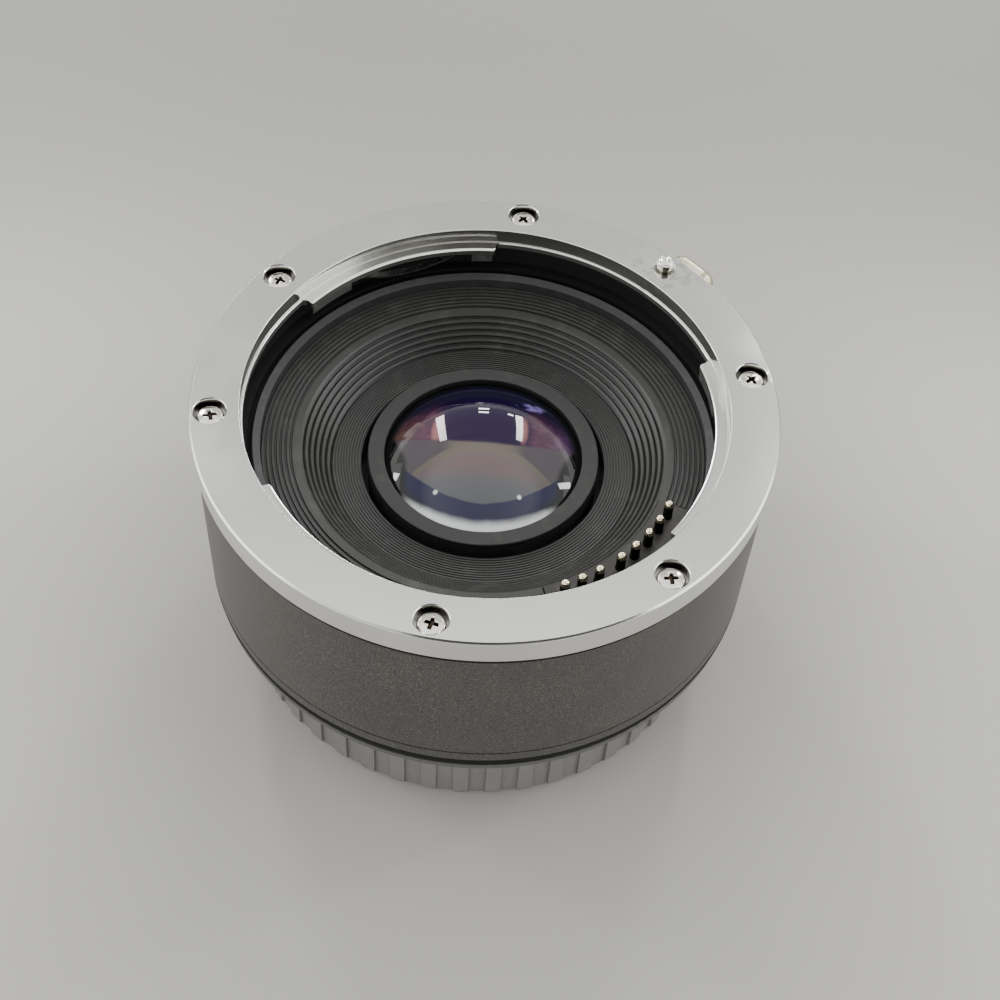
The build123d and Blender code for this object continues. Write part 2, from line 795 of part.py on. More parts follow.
# The leaf springs bow down from the tabs, each held by a small screw through its flat foot
leaf_half = leaf_circle_r * math.sin(math.radians(leaf_half_sweep))
leaf_foot_end = leaf_circle_r * math.sin(math.radians(leaf_half_sweep + leaf_foot_sweep))
with BuildPart() as mount_leaf_springs:
    for angle in leaf_angles:
        with BuildSketch(radial_plane(throat_r / 2, angle, leaf_low)) as leaf:
            with BuildLine():
                low_arc = ThreePointArc((-leaf_half, leaf_drop), (0, 0), (leaf_half, leaf_drop))
                high_arc = ThreePointArc(
                    (-leaf_half, leaf_drop + leaf_thickness),
                    (0, leaf_thickness),
                    (leaf_half, leaf_drop + leaf_thickness),
                )
                Line(low_arc @ 0, high_arc @ 0)
                Polyline(
                    low_arc @ 1,
                    (leaf_foot_end, leaf_drop),
                    (leaf_foot_end, leaf_drop + leaf_thickness),
                    high_arc @ 1,
                )
            make_face()
        extrude(leaf.sketch, amount=throat_r / 2)
    leaf_inner_r = leaf_circle_r - leaf_width / 2
    tube(leaf_inner_r, leaf_inner_r + leaf_width, leaf_low, leaf_high, Mode.INTERSECT)
    rods(
        leaf_screw_r + thread_gap, leaf_low, leaf_high, leaf_circle_r, leaf_screw_angles, Mode.SUBTRACT
    )
save_group(mount_leaf_springs.part, "mount_leaf_springs")

leaf_head_high = leaf_high - leaf_thickness - fixed_gap
leaf_head_low = leaf_head_high - leaf_screw_head_height
with BuildPart() as leaf_spring_screws:
    rods(leaf_screw_r, leaf_head_high, tab_low + leaf_screw_grip, leaf_circle_r, leaf_screw_angles)
    rods(leaf_screw_head_r, leaf_head_low, leaf_head_high, leaf_circle_r, leaf_screw_angles)
save_group(leaf_spring_screws.part, "leaf_spring_screws")

# The grooved baffle, open where the contact block stands
floor_low = flange_face - floor_depth - baffle_thickness
band_low = flange_face - band_depth - baffle_thickness
cone_slope = math.atan2(floor_depth - band_depth, band_end_r - cone_end_r)
cone_offset = baffle_thickness * math.tan(cone_slope / 2)
block_window = (block_span[0] - block_window_margin, block_span[1] + block_window_margin)
with BuildPart() as front_baffle:
    turned(
        [
            *grooved(
                (baffle_r, flange_face - fine_top_depth), (fine_end_r, flange_face - fine_end_depth),
                fine_groove_count, fine_groove_depth,
            ),
            (fine_end_r, flange_face - fine_end_depth),
            (fine_end_r, flange_face - band_depth),
            *grooved(
                (band_end_r, flange_face - band_depth), (cone_end_r, flange_face - floor_depth),
                cone_groove_count, cone_groove_depth,
            ),
            *grooved(
                (cone_end_r, flange_face - floor_depth), (floor_inner_r, flange_face - floor_depth),
                floor_groove_count, floor_groove_depth,
            ),
            (floor_inner_r, flange_face - floor_depth),
            (floor_inner_r, floor_low),
            (cone_end_r + cone_offset, floor_low),
            (band_end_r + cone_offset, band_low),
            (seat_inner_r - slide_gap, band_low),
            (seat_inner_r - slide_gap, seat_top),
            (baffle_r, seat_top),
        ]
    )
    sectors(
        block_inner_r - slide_gap, baffle_r + cut_over, [block_window],
        band_low - cut_over, flange_face, Mode.SUBTRACT,
    )
save(front_baffle.part, "front_baffle")

# The contact block, its sprung pins and their springs
ear_span = (block_span[0] - block_ear_sweep, block_span[1] + block_ear_sweep)
ear_high = board_high + block_ear_height
block_screw_angles = [ear_span[0] + block_screw_inset, ear_span[1] - block_screw_inset]
guide_low = block_top - contact_guide_height
collar_high = guide_low - fixed_gap
collar_low = collar_high - contact_collar_height
tail_low = collar_low - contact_tail_length
with BuildPart() as front_contact_block:
    sectors(block_inner_r, block_outer_r, [block_span], seat_top, block_top)
    sectors(block_inner_r, block_foot_r, [block_span], board_high, seat_top)
    sectors(block_inner_r, block_foot_r, [ear_span], board_high, ear_high)
    rods(
        contact_pin_r + running_gap, guide_low, block_top,
        contact_circle_r, contact_angles, Mode.SUBTRACT,
    )
    rods(
        contact_collar_r + running_gap, board_high, guide_low,
        contact_circle_r, contact_angles, Mode.SUBTRACT,
    )
    rods(
        block_screw_r + thread_gap, board_high, board_low + block_screw_length + thread_gap,
        block_screw_circle_r, block_screw_angles, Mode.SUBTRACT,
    )
save(front_contact_block.part, "front_contact_block")

for number, angle in enumerate(contact_angles, start=1):
    with BuildPart() as contact_pin:
        rods(contact_pin_r, collar_high, flange_face - contact_tip_depth, contact_circle_r, [angle])
        fillet(contact_pin.edges().group_by(Axis.Z)[-1], contact_pin_r - fixed_gap)
        rods(contact_collar_r, collar_low, collar_high, contact_circle_r, [angle])
        rods(contact_tail_r, tail_low, collar_low, contact_circle_r, [angle])
    save(contact_pin.part, f"contact_pin_{number}")
    with BuildPart() as contact_spring:
        spring_gap = coil(
            contact_spring_coil_r, contact_spring_wire_r, board_high + fixed_gap, collar_low - fixed_gap,
            contact_spring_turn_count, at_angle(contact_circle_r, angle),
        )
    save(contact_spring.part, f"contact_spring_{number}")
print(f"contact springs: least gap between turns {spring_gap:.2f} mm")

with BuildPart() as block_screw:
    screw(block_screw_head_r, block_screw_head_height, block_screw_r, block_screw_length)
with BuildPart() as front_contact_block_screws:
    copies(block_screw.part, block_screw_circle_r, block_screw_angles, board_low, flip=True)
save_group(front_contact_block_screws.part, "front_contact_block_screws")

# The board round the cell, its chips and screws, and the flexible strip to the camera side
with BuildPart() as circuit_board:
    tube(board_inner_r, board_outer_r, board_low, board_high)
    rods(
        board_screw_r + fixed_gap, board_low, board_high,
        board_screw_circle_r, board_screw_angles, Mode.SUBTRACT,
    )
    rods(
        block_screw_r + fixed_gap, board_low, board_high,
        block_screw_circle_r, block_screw_angles, Mode.SUBTRACT,
    )
save(circuit_board.part, "circuit_board")

with BuildPart() as board_chips:
    for angle in chip_angles:
        x, y = at_angle(board_screw_circle_r, angle)
        with BuildSketch(Plane.XY.offset(board_high)) as chip:
            with Locations(Location((x, y), angle)):
                Rectangle(chip_width, chip_length)
        extrude(chip.sketch, amount=chip_height)
save_group(board_chips.part, "board_chips")

with BuildPart() as board_screw:
    screw(board_screw_head_r, board_screw_head_height, board_screw_r, board_screw_length)
with BuildPart() as board_screws:
    copies(board_screw.part, board_screw_circle_r, board_screw_angles, board_high)
save_group(board_screws.part, "board_screws")

with BuildPart() as contact_flex:
    sectors(flex_r, flex_r + flex_thickness, [flex_span], rear_block_low + loose_gap, board_low)
save(contact_flex.part, "contact_flex")

# Heights of the optics, each from the piece above it
front_crown = ring_neck_low - fixed_gap + bulge(front_curve, ring_bore_r)
front_rim_high = front_crown - bulge(front_curve, glass_r)
front_rim_low = front_rim_high - front_rim_height
front_bottom = front_rim_low - bulge(front_back_curve, glass_r)
front_spacer_high = front_bottom + bulge(front_back_curve, front_clear_r) - fixed_gap
front_spacer_low = front_spacer_high - front_spacer_height
doublet_crown = front_spacer_low - fixed_gap + bulge(doublet_front_curve, front_clear_r)
doublet_rim_high = doublet_crown - bulge(doublet_front_curve, glass_r)
doublet_join = doublet_rim_high - doublet_front_rim_height
doublet_rim_low = doublet_join - doublet_back_rim_height
doublet_bottom = doublet_rim_low - bulge(doublet_back_curve, glass_r)
step_high = doublet_bottom + bulge(doublet_back_curve, cell_step_bore_r) - fixed_gap
step_low = step_high - cell_step_height
fourth_rim_high = step_low - fixed_gap
fourth_hollows = bulge(fourth_front_curve, rear_glass_r) + bulge(fourth_back_curve, rear_glass_r)
fourth_rim_low = fourth_rim_high - fourth_middle_height + fourth_hollows
rear_spacer_high = fourth_rim_low - fixed_gap
rear_spacer_low = rear_spacer_high - rear_spacer_height
rear_crown = rear_spacer_low - fixed_gap + bulge(rear_front_curve, rear_clear_r)
rear_rim_high = rear_crown - bulge(rear_front_curve, rear_glass_r)
rear_rim_low = rear_rim_high - rear_rim_height
rear_bottom = rear_rim_low - bulge(rear_back_curve, rear_glass_r)
rear_ring_seat = rear_bottom + bulge(rear_back_curve, rear_ring_bore_r) - fixed_gap
cell_low = rear_ring_seat - rear_ring_thread_height

with BuildPart() as lens_cell:
    turned(
        [
            (cell_bore_r, cell_high),
            (cell_r, cell_high),
            (cell_r, web_high + cell_flange_height),
            (cell_flange_r, web_high + cell_flange_height),
            (cell_flange_r, web_high),
            (cell_r, web_high),
            (cell_r, cell_low),
            (cell_rear_bore_r, cell_low),
            (cell_rear_bore_r, step_low),
            (cell_step_bore_r, step_low),
            (cell_step_bore_r, step_high),
            (cell_front_bore_r, step_high),
            (cell_front_bore_r, ring_neck_low - loose_gap),
            (cell_bore_r, ring_neck_low - loose_gap),
        ]
    )
save(lens_cell.part, "lens_cell")

with BuildPart() as cell_lock_ring:
    tube(cell_r + thread_gap, cell_flange_r, web_low - cell_lock_height, web_low)
save(cell_lock_ring.part, "cell_lock_ring")

with BuildPart() as front_retaining_ring:
    turned(
        [
            (ring_bore_r, ring_neck_low),
            (cell_bore_r - thread_gap, ring_neck_low),
            (cell_bore_r - thread_gap, cell_high),
            (cell_r, cell_high),
            (cell_r, ring_top - ring_edge),
            (cell_r - ring_edge, ring_top),
            (ring_bore_r + ring_edge, ring_top),
            (ring_bore_r, ring_top - ring_edge),
        ]
    )
save(front_retaining_ring.part, "front_retaining_ring")

with BuildPart() as front_element:
    revolve(
        glass_outline(glass_r, front_rim_high, front_rim_low, front_curve, front_back_curve), axis=Axis.Z
    )
save(front_element.part, "front_element")

with BuildPart() as front_spacer:
    tube(front_clear_r, glass_r, front_spacer_low, front_spacer_high)
save(front_spacer.part, "front_spacer")

with BuildPart() as doublet_front_element:
    revolve(
        glass_outline(
            glass_r, doublet_rim_high, doublet_join, doublet_front_curve, -doublet_join_curve
        ),
        axis=Axis.Z,
    )
save(doublet_front_element.part, "doublet_front_element")

with BuildPart() as doublet_rear_element:
    revolve(
        glass_outline(glass_r, doublet_join, doublet_rim_low, doublet_join_curve, doublet_back_curve),
        axis=Axis.Z,
    )
save(doublet_rear_element.part, "doublet_rear_element")

with BuildPart() as fourth_element:
    revolve(
        glass_outline(
            rear_glass_r, fourth_rim_high, fourth_rim_low, fourth_front_curve, fourth_back_curve
        ),
        axis=Axis.Z,
    )
save(fourth_element.part, "fourth_element")

with BuildPart() as rear_spacer:
    tube(rear_clear_r, rear_glass_r, rear_spacer_low, rear_spacer_high)
save(rear_spacer.part, "rear_spacer")

with BuildPart() as rear_element:
    revolve(
        glass_outline(rear_glass_r, rear_rim_high, rear_rim_low, rear_front_curve, rear_back_curve),
        axis=Axis.Z,
    )
save(rear_element.part, "rear_element")

with BuildPart() as rear_retaining_ring:
    tube(rear_ring_bore_r, cell_rear_bore_r - thread_gap, cell_low, rear_ring_seat)
save(rear_retaining_ring.part, "rear_retaining_ring")

# The camera side: a male bayonet whose tabs lie where a lens's tabs lie once it is locked
male_tab_spans = []
lens_tab_order = sorted(lens_tab_spans)
for index, (start, end) in enumerate(lens_tab_order):
    next_start = lens_tab_order[(index + 1) % len(lens_tab_order)][0]
    gap_end = next_start if next_start > end else next_start + full_turn
    male_tab_spans.append((end + male_tab_margin - lock_turn, gap_end - male_tab_margin - lock_turn))
with BuildPart() as rear_mount:
    turned(
        [
            (male_tube_inner_r, male_tube_low),
            (male_tube_r, male_tube_low),
            (male_tube_r, rear_face),
            (rear_flange_r, rear_face),
            (rear_flange_r, chassis_low),
            (male_tube_inner_r, chassis_low),
            (male_tube_inner_r, rear_ledge_high),
            (rear_ledge_inner_r, rear_ledge_high),
            (rear_ledge_inner_r, rear_block_high),
            (male_tube_inner_r, rear_block_high),
        ]
    )
    sectors(
        rear_block_inner_r, rear_ledge_inner_r + slide_gap, [ear_span], rear_block_high, rear_ledge_high
    )
    sectors(male_tube_r - slide_gap, male_tab_r, male_tab_spans, male_tab_low, male_tab_high)
    rods(
        rear_screw_head_r + fixed_gap, rear_face, rear_face + rear_screw_sink,
        rear_boss_circle_r, rear_screw_angles, Mode.SUBTRACT,
    )
    rods(
        rear_screw_shank_r + fixed_gap, rear_face, chassis_low,
        rear_boss_circle_r, rear_screw_angles, Mode.SUBTRACT,
    )
    rods(
        block_screw_r + thread_gap, rear_block_high, rear_ledge_high,
        block_screw_circle_r, block_screw_angles, Mode.SUBTRACT,
    )
save(rear_mount.part, "rear_mount")

with BuildPart() as rear_screw:
    screw(rear_screw_head_r, rear_screw_head_height, rear_screw_shank_r, rear_screw_length)
with BuildPart() as rear_mount_screws:
    copies(rear_screw.part, rear_boss_circle_r, rear_screw_angles, rear_face + rear_screw_sink, flip=True)
save_group(rear_mount_screws.part, "rear_mount_screws")

rear_block_outer_r = male_tube_inner_r - rear_block_gap
head_low = rear_block_low + block_screw_head_height
with BuildPart() as rear_contact_block:
    sectors(rear_block_inner_r, rear_block_outer_r, [ear_span], rear_block_low, rear_block_high)
    rods(
        block_screw_head_r + fixed_gap, rear_block_low, head_low,
        block_screw_circle_r, block_screw_angles, Mode.SUBTRACT,
    )
    rods(
        block_screw_r + fixed_gap, rear_block_low, rear_block_high,
        block_screw_circle_r, block_screw_angles, Mode.SUBTRACT,
    )
save(rear_contact_block.part, "rear_contact_block")

with BuildPart() as rear_contact_pads:
    for angle in contact_angles:
        x, y = at_angle(contact_circle_r, angle)
        with BuildSketch(Plane.XY.offset(pad_face)) as pad:
            with Locations(Location((x, y), angle)):
                Rectangle(pad_length, pad_width)
        extrude(pad.sketch, amount=pad_height)
save_group(rear_contact_pads.part, "rear_contact_pads")

with BuildPart() as rear_contact_block_screws:
    copies(block_screw.part, block_screw_circle_r, block_screw_angles, head_low, flip=True)
save_group(rear_contact_block_screws.part, "rear_contact_block_screws")

baffle_high = rear_ledge_high + rear_baffle_thickness
with BuildPart() as rear_baffle:
    tube(cell_r + slide_gap, male_tube_inner_r - slide_gap, rear_ledge_high, baffle_high)
    sectors(
        flex_r - loose_gap, flex_r + flex_thickness + loose_gap, [flex_slot_span],
        rear_ledge_high, baffle_high, Mode.SUBTRACT,
    )
save(rear_baffle.part, "rear_baffle")

# The rear cap: lugs between the rear flange and the male tabs hold it, and it turns to come off
recess_pitch = full_turn / cap_rib_count
recess_spans = []
for index in range(cap_rib_count):
    middle = cap_first_recess + index * recess_pitch
    recess_spans.append((middle - cap_recess_sweep / 2, middle + cap_recess_sweep / 2))
lug_spans = []
for start, end in lens_tab_spans:
    middle = (start + end) / 2
    lug_spans.append((middle - cap_lug_sweep / 2, middle + cap_lug_sweep / 2))
lip_underside = cap_height - cap_lip_height
lug_low = male_tab_high + cap_lug_gap
with BuildPart() as rear_cap:
    turned(
        [
            (0, 0),
            (cap_rib_r, 0),
            (cap_rib_r, lip_underside),
            (cap_lip_r, lip_underside),
            (cap_lip_r, cap_height),
            (cap_bore_r, cap_height),
            (cap_bore_r, cap_floor),
            (0, cap_floor),
        ]
    )
    fillet(rear_cap.edges().filter_by(GeomType.CIRCLE).group_by(Axis.Z)[0], cap_foot_round)
    lip_edges = rear_cap.edges().filter_by(GeomType.CIRCLE).filter_by(
        lambda edge: abs(edge.radius - cap_lip_r) < fixed_gap
    )
    fillet(lip_edges, cap_lip_round)
    tube(0, cap_dish_r, -cut_over, cap_dish_depth, Mode.SUBTRACT)
    sectors(cap_recess_r, cap_rib_r + cut_over, recess_spans, -cut_over, lip_underside, Mode.SUBTRACT)
    sectors(
        male_tube_r + loose_gap, cap_bore_r + fixed_gap, lug_spans, lug_low, lug_low + cap_lug_thickness
    )
save(rear_cap.part, "rear_cap")
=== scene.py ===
"""The looks of a bayonet teleconverter that stands on its ribbed rear cap.

Lengths are in metres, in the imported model's frame: the lens axis is Z, the cap stands on Z = 0 and the
lens side faces up. Angles are in degrees about Z from +X, as seen from the lens side. The classes that
model pieces give their sizes in millimetres.
"""

import json
import logging
import math
from collections.abc import Callable, Mapping, Sequence
from dataclasses import dataclass
from enum import Enum

import bpy
from mathutils import Matrix, Vector


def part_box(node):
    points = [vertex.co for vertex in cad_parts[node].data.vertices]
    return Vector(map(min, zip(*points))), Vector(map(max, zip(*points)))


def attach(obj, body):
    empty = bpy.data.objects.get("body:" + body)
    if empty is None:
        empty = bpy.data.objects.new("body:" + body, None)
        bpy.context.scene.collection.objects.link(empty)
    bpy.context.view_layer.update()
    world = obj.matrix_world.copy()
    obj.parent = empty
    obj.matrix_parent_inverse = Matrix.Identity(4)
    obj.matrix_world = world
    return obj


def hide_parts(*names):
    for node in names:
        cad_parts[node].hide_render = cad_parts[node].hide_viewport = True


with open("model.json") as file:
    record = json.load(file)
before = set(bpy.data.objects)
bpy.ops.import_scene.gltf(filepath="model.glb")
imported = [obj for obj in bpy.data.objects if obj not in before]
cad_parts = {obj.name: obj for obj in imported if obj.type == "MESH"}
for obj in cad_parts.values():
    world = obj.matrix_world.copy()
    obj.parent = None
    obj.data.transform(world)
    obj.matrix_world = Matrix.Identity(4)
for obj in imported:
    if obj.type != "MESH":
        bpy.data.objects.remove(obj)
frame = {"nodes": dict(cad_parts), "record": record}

LOG = logging.getLogger("teleconverter")
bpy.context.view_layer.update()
MM = 0.001
FULL_TURN = 2 * math.pi
MERGE_WITHIN = 0.001 * MM
SHARP_ABOVE = 30.0
DOME_STEPS = 6
SMOOTH_STEP = {"interpolation_type": "SMOOTHSTEP", "clamp": True}

Colour = tuple[float, float, float]
Corner = tuple[float, float, float]
Point = tuple[float, float]
Settings = Mapping[str, object]
Sockets = Mapping[str | int, object]
Piece = bpy.types.Object
Socket = bpy.types.NodeSocket
Test = Callable[[Vector, Vector], bool]


class Body(str, Enum):
    """The rigid bodies that a new piece may ride on, beside the eight contacts."""

    CONVERTER = "converter_body"
    RELEASE = "release"


class Join(str, Enum):
    """How one piece is combined with another."""

    ADD = "UNION"
    CUT = "DIFFERENCE"


class Element(str, Enum):
    """The parts of a mesh that can be picked out."""

    EDGE = "EDGE"
    FACE = "FACE"


class Steps(int, Enum):
    """How finely a round form is divided in one full turn."""

    LARGE = 256
    MEDIUM = 96
    SMALL = 48
    TINY = 32


@dataclass(frozen=True)
class Signal:
    """One number that varies over a surface, carried by a socket, and written with plain operators."""

    graph: "Graph"
    socket: Socket

    def maths(self, operation: str, *others: "Signal | float") -> "Signal":
        """Apply one Math operation to this number and up to two more."""
        return self.graph.maths(operation, self, *others)

    def __add__(self, other: "Signal | float") -> "Signal":
        """Sum."""
        return self.maths("ADD", other)

    __radd__ = __add__

    def __sub__(self, other: "Signal | float") -> "Signal":
        """Difference."""
        return self.maths("SUBTRACT", other)

    def __rsub__(self, other: float) -> "Signal":
        """Difference from a plain number."""
        return self.graph.maths("SUBTRACT", other, self)

    def __mul__(self, other: "Signal | float") -> "Signal":
        """Product."""
        return self.maths("MULTIPLY", other)

    __rmul__ = __mul__

    def __truediv__(self, other: "Signal | float") -> "Signal":
        """Quotient."""
        return self.maths("DIVIDE", other)

    def __pow__(self, other: "Signal | float") -> "Signal":
        """Power."""
        return self.maths("POWER", other)

    def smooth(self, low: float, high: float) -> "Signal":
        """Rise smoothly from 0 to 1 between two values of this number."""
        sockets = {"Value": self, "From Min": low, "From Max": high, "To Min": 0.0, "To Max": 1.0}
        return self.graph.number("ShaderNodeMapRange", SMOOTH_STEP, sockets)

    def fall(self, low: float, high: float) -> "Signal":
        """Fall smoothly from 1 to 0 between two values of this number."""
        return 1 - self.smooth(low, high)


class Graph:
    """One shader, built node by node."""

    def __init__(self, owner: bpy.types.Material | bpy.types.World) -> None:
        """Start an empty shader.

        Args:
            owner: The material or world that it belongs to.
        """
        owner.use_nodes = True
        self.tree = owner.node_tree
        self.tree.nodes.clear()

    def node(self, kind: str, settings: Settings, sockets: Sockets) -> bpy.types.Node:
        """Add a node.

        Args:
            kind: The node's type.
            settings: Properties of the node, or the stops of a colour ramp.
            sockets: Values or links of its inputs, by name or number.

        Returns:
            The new node.
        """
        made = self.tree.nodes.new(kind)
        for key, value in settings.items():
            if key == "stops":
                self.set_stops(made.color_ramp, value)
            else:
                setattr(made, key, value)
        for key, value in sockets.items():
            if isinstance(value, Signal):
                value = value.socket
            if isinstance(value, Socket):
                self.tree.links.new(value, made.inputs[key])
            elif isinstance(value, tuple) and len(value) == 3 and made.inputs[key].type == "RGBA":
                made.inputs[key].default_value = (*value, 1.0)
            else:
                made.inputs[key].default_value = value
        return made

    @staticmethod
    def set_stops(ramp: bpy.types.ColorRamp, stops: Sequence[tuple[float, Colour]]) -> None:
        """Give a colour ramp its stops.

        Args:
            ramp: The ramp.
            stops: The position and the colour of each stop.
        """
        while len(ramp.elements) < len(stops):
            ramp.elements.new(1.0)
        for element, (position, colour) in zip(ramp.elements, stops):
            element.position = position
            element.color = (*colour, 1.0)

    def number(self, kind: str, settings: Settings, sockets: Sockets, output: str | int = 0) -> Signal:
        """Add a node and take one of its outputs as a number."""
        return Signal(self, self.node(kind, settings, sockets).outputs[output])

    def maths(self, operation: str, *values: Signal | float) -> Signal:
        """Add a Math node with its inputs in order."""
        return self.number("ShaderNodeMath", {"operation": operation}, dict(enumerate(values)))

    def place(self) -> Socket:
        """The place on the piece, in metres, as a vector."""
        return self.node("ShaderNodeTexCoord", {}, {}).outputs["Object"]

    def axes(self) -> tuple[Signal, ...]:
        """The place on the piece, in metres, as three numbers."""
        split = self.node("ShaderNodeSeparateXYZ", {}, {0: self.place()})
        return tuple(Signal(self, output) for output in split.outputs)

    def height(self) -> Signal:
        """The height above the floor, in metres."""
        return self.axes()[2]

    def radius(self) -> Signal:
        """The distance from the lens axis, in metres."""
        x, y, _ = self.axes()
        return (x * x + y * y) ** 0.5

    def noise(self, scale: float, detail: float, where: Socket | None = None) -> Signal:
        """Soft noise from 0 to 1, by its cells to a metre, its octaves and its coordinates."""
        sockets = {"Vector": where or self.place(), "Scale": scale, "Detail": detail}
        return self.number("ShaderNodeTexNoise", {}, sockets)

    def turned_marks(self, pitch: float) -> Signal:
        """Fine rings about the lens axis, as a turning tool leaves them, by their average spacing."""
        section = self.node("ShaderNodeCombineXYZ", {}, {0: self.radius(), 1: self.height(), 2: 0.0})
        return self.noise(1 / pitch, 1.0, section.outputs[0])

    def specks(self, scale: float, low: float, high: float) -> Signal:
        """Separate small spots: so many to a metre, full within one share of a cell, gone at another."""
        sockets = {"Vector": self.place(), "Scale": scale}
        return self.number("ShaderNodeTexVoronoi", {}, sockets, "Distance").fall(low, high)

    def blend(self, share: Signal, first: object, second: object) -> Socket:
        """Mix two colours or links; a share of 0 gives the first, 1 the second."""
        return self.node("ShaderNodeMix", {"data_type": "RGBA"}, {0: share, 6: first, 7: second}).outputs[2]

    def coats(self, base: object, *coats: tuple[Signal, object]) -> Socket:
        """Lay colours over each other.

        Args:
            base: The lowest colour or link.
            coats: The share and the colour or link of each coat, from the lowest up.

        Returns:
            The colour that shows.
        """
        for share, colour in coats:
            base = self.blend(share, base, colour)
        return base

    def bump(self, height: Signal, depth: float, below: Socket | None = None) -> Socket:
        """Turn a height from 0 to 1, that is so many metres deep, into a normal over another one."""
        sockets = {"Height": height, "Distance": depth, "Strength": 1.0}
        return self.node("ShaderNodeBump", {}, sockets | ({"Normal": below} if below else {})).outputs[0]

    def surface(self, **sockets: object) -> None:
        """Finish the shader.

        Args:
            sockets: Inputs of the surface shader, with underscores for spaces.
        """
        named = {key.replace("_", " "): value for key, value in sockets.items()}
        shader = self.node("ShaderNodeBsdfPrincipled", {}, named)
        self.node("ShaderNodeOutputMaterial", {}, {"Surface": shader.outputs[0]})


@dataclass(frozen=True)
class Cloud:
    """A patchy pattern over a surface.

    It is noise of so many cells to a metre and so many octaves, faded in between two of its values.
    """

    cells: float
    detail: float
    low: float
    high: float

    def on(self, graph: Graph) -> Signal:
        """The pattern on a shader's surface, from 0 to 1."""
        return graph.noise(self.cells, self.detail).smooth(self.low, self.high)


# How far the front lens's painted reflections and coating tints drift, unevenly.
PATTERN_DRIFT = 1.2 * MM
MADE: dict[str, bpy.types.Material] = {}


@dataclass(frozen=True)
class Finish:
    """A surface finish. Each kind draws its own shader; a material is made once for each name."""

    name: str

    def draw(self, graph: Graph) -> None:
        """Draw the finish's shader."""
        raise NotImplementedError

    def material(self) -> bpy.types.Material:
        """The finish's material, made on first use.

        Returns:
            The material.
        """
        if self.name not in MADE:
            MADE[self.name] = bpy.data.materials.new(self.name)
            self.draw(Graph(MADE[self.name]))
        return MADE[self.name]


@dataclass(frozen=True)
class SatinPlating(Finish):
    """Turned and plated metal, polished and slightly smudged.

    A film of grease dulls it in patches, the bores under its face are darkened by painted shade with
    patches of dirt in it, and the plating is worn about one place.
    """

    colour: Colour = (0.82, 0.82, 0.8)
    smudge: Colour = (0.7, 0.7, 0.66)
    film: Cloud = Cloud(55, 4, 0.42, 0.72)
    gloss: float = 0.13
    dull: float = 0.1
    scratches: Cloud = Cloud(2400, 3, 0.66, 0.74)
    # The colour of the painted shade and dirt in the bores.
    grime_and_shade: Colour = (0.07, 0.06, 0.045)
    dirt: Cloud = Cloud(1100, 3, 0.3, 0.62)
    face: float = 1.0
    bore_band: Point = (28.25 * MM, 32.1 * MM)
    wear: Colour = (0.5, 0.5, 0.45)
    rubbing: Cloud = Cloud(700, 5, 0.5, 0.62)
    wear_place: Point = (19.8 * MM, 22.5 * MM)
    wear_reach: float = 7.0 * MM
    sink_band: Point = (0.3 * MM, 0.12 * MM)
    bore_fade: float = 0.05 * MM
    mark_pitch: float = 0.12 * MM
    mark_depth: float = 0.0012 * MM
    ripple_depth: float = 0.002 * MM

    def draw(self, graph: Graph) -> None:
        """Draw the finish's shader.

        Args:
            graph: The shader, still empty.
        """
        film = self.film.on(graph)
        marks = graph.turned_marks(self.mark_pitch)
        x, y, z = graph.axes()
        across, along = x - self.wear_place[0], y - self.wear_place[1]
        close = ((across * across + along * along) ** 0.5).fall(0.0, self.wear_reach)
        radius = graph.radius()
        inner, outer = self.bore_band
        beside = radius.smooth(inner, inner + self.bore_fade) * radius.fall(outer - self.bore_fade, outer)
        sunk = z.fall(self.face - self.sink_band[0], self.face - self.sink_band[1])
        base = graph.coats(
            self.colour,
            (film * 0.55 + self.scratches.on(graph) * 0.12, self.smudge),
            (close * self.rubbing.on(graph) * 0.8, self.wear),
            # Painted shade in the bores under the face, with patches of dirt.
            (sunk * beside * (0.15 + self.dirt.on(graph) * 0.6), self.grime_and_shade),
        )
        roughness = self.gloss + film * self.dull + marks * 0.05
        ripples = graph.bump(graph.noise(400, 3), self.ripple_depth)
        normal = graph.bump(marks, self.mark_depth, ripples)
        graph.surface(Base_Color=base, Metallic=1.0, Roughness=roughness, Normal=normal)


@dataclass(frozen=True)
class BrightSteel(Finish):
    """Bright screws, pins and springs, stained in patches and dark with painted shade below a height, in a
    screw's cross recess.
    """

    colour: Colour = (0.95, 0.93, 0.86)
    stain: Colour = (0.5, 0.42, 0.3)
    staining: Cloud = Cloud(900, 4, 0.55, 0.78)
    gloss: float = 0.07
    shade: Colour = (0.05, 0.036, 0.026)
    dark_below: float = -1.0
    dark_fade: float = 0.12 * MM
    stained: float = 0.4
    ripple_depth: float = 0.003 * MM

    def draw(self, graph: Graph) -> None:
        """Draw the finish's shader.

        Args:
            graph: The shader, still empty.
        """
        stain = self.staining.on(graph)
        # Painted shade below the height, in the cross recess.
        recess = graph.height().fall(self.dark_below - self.dark_fade, self.dark_below)
        base = graph.coats(self.colour, (stain * self.stained, self.stain), (recess, self.shade))
        normal = graph.bump(graph.noise(6000, 2), self.ripple_depth)
        graph.surface(Base_Color=base, Metallic=1.0, Roughness=self.gloss + stain * 0.2, Normal=normal)


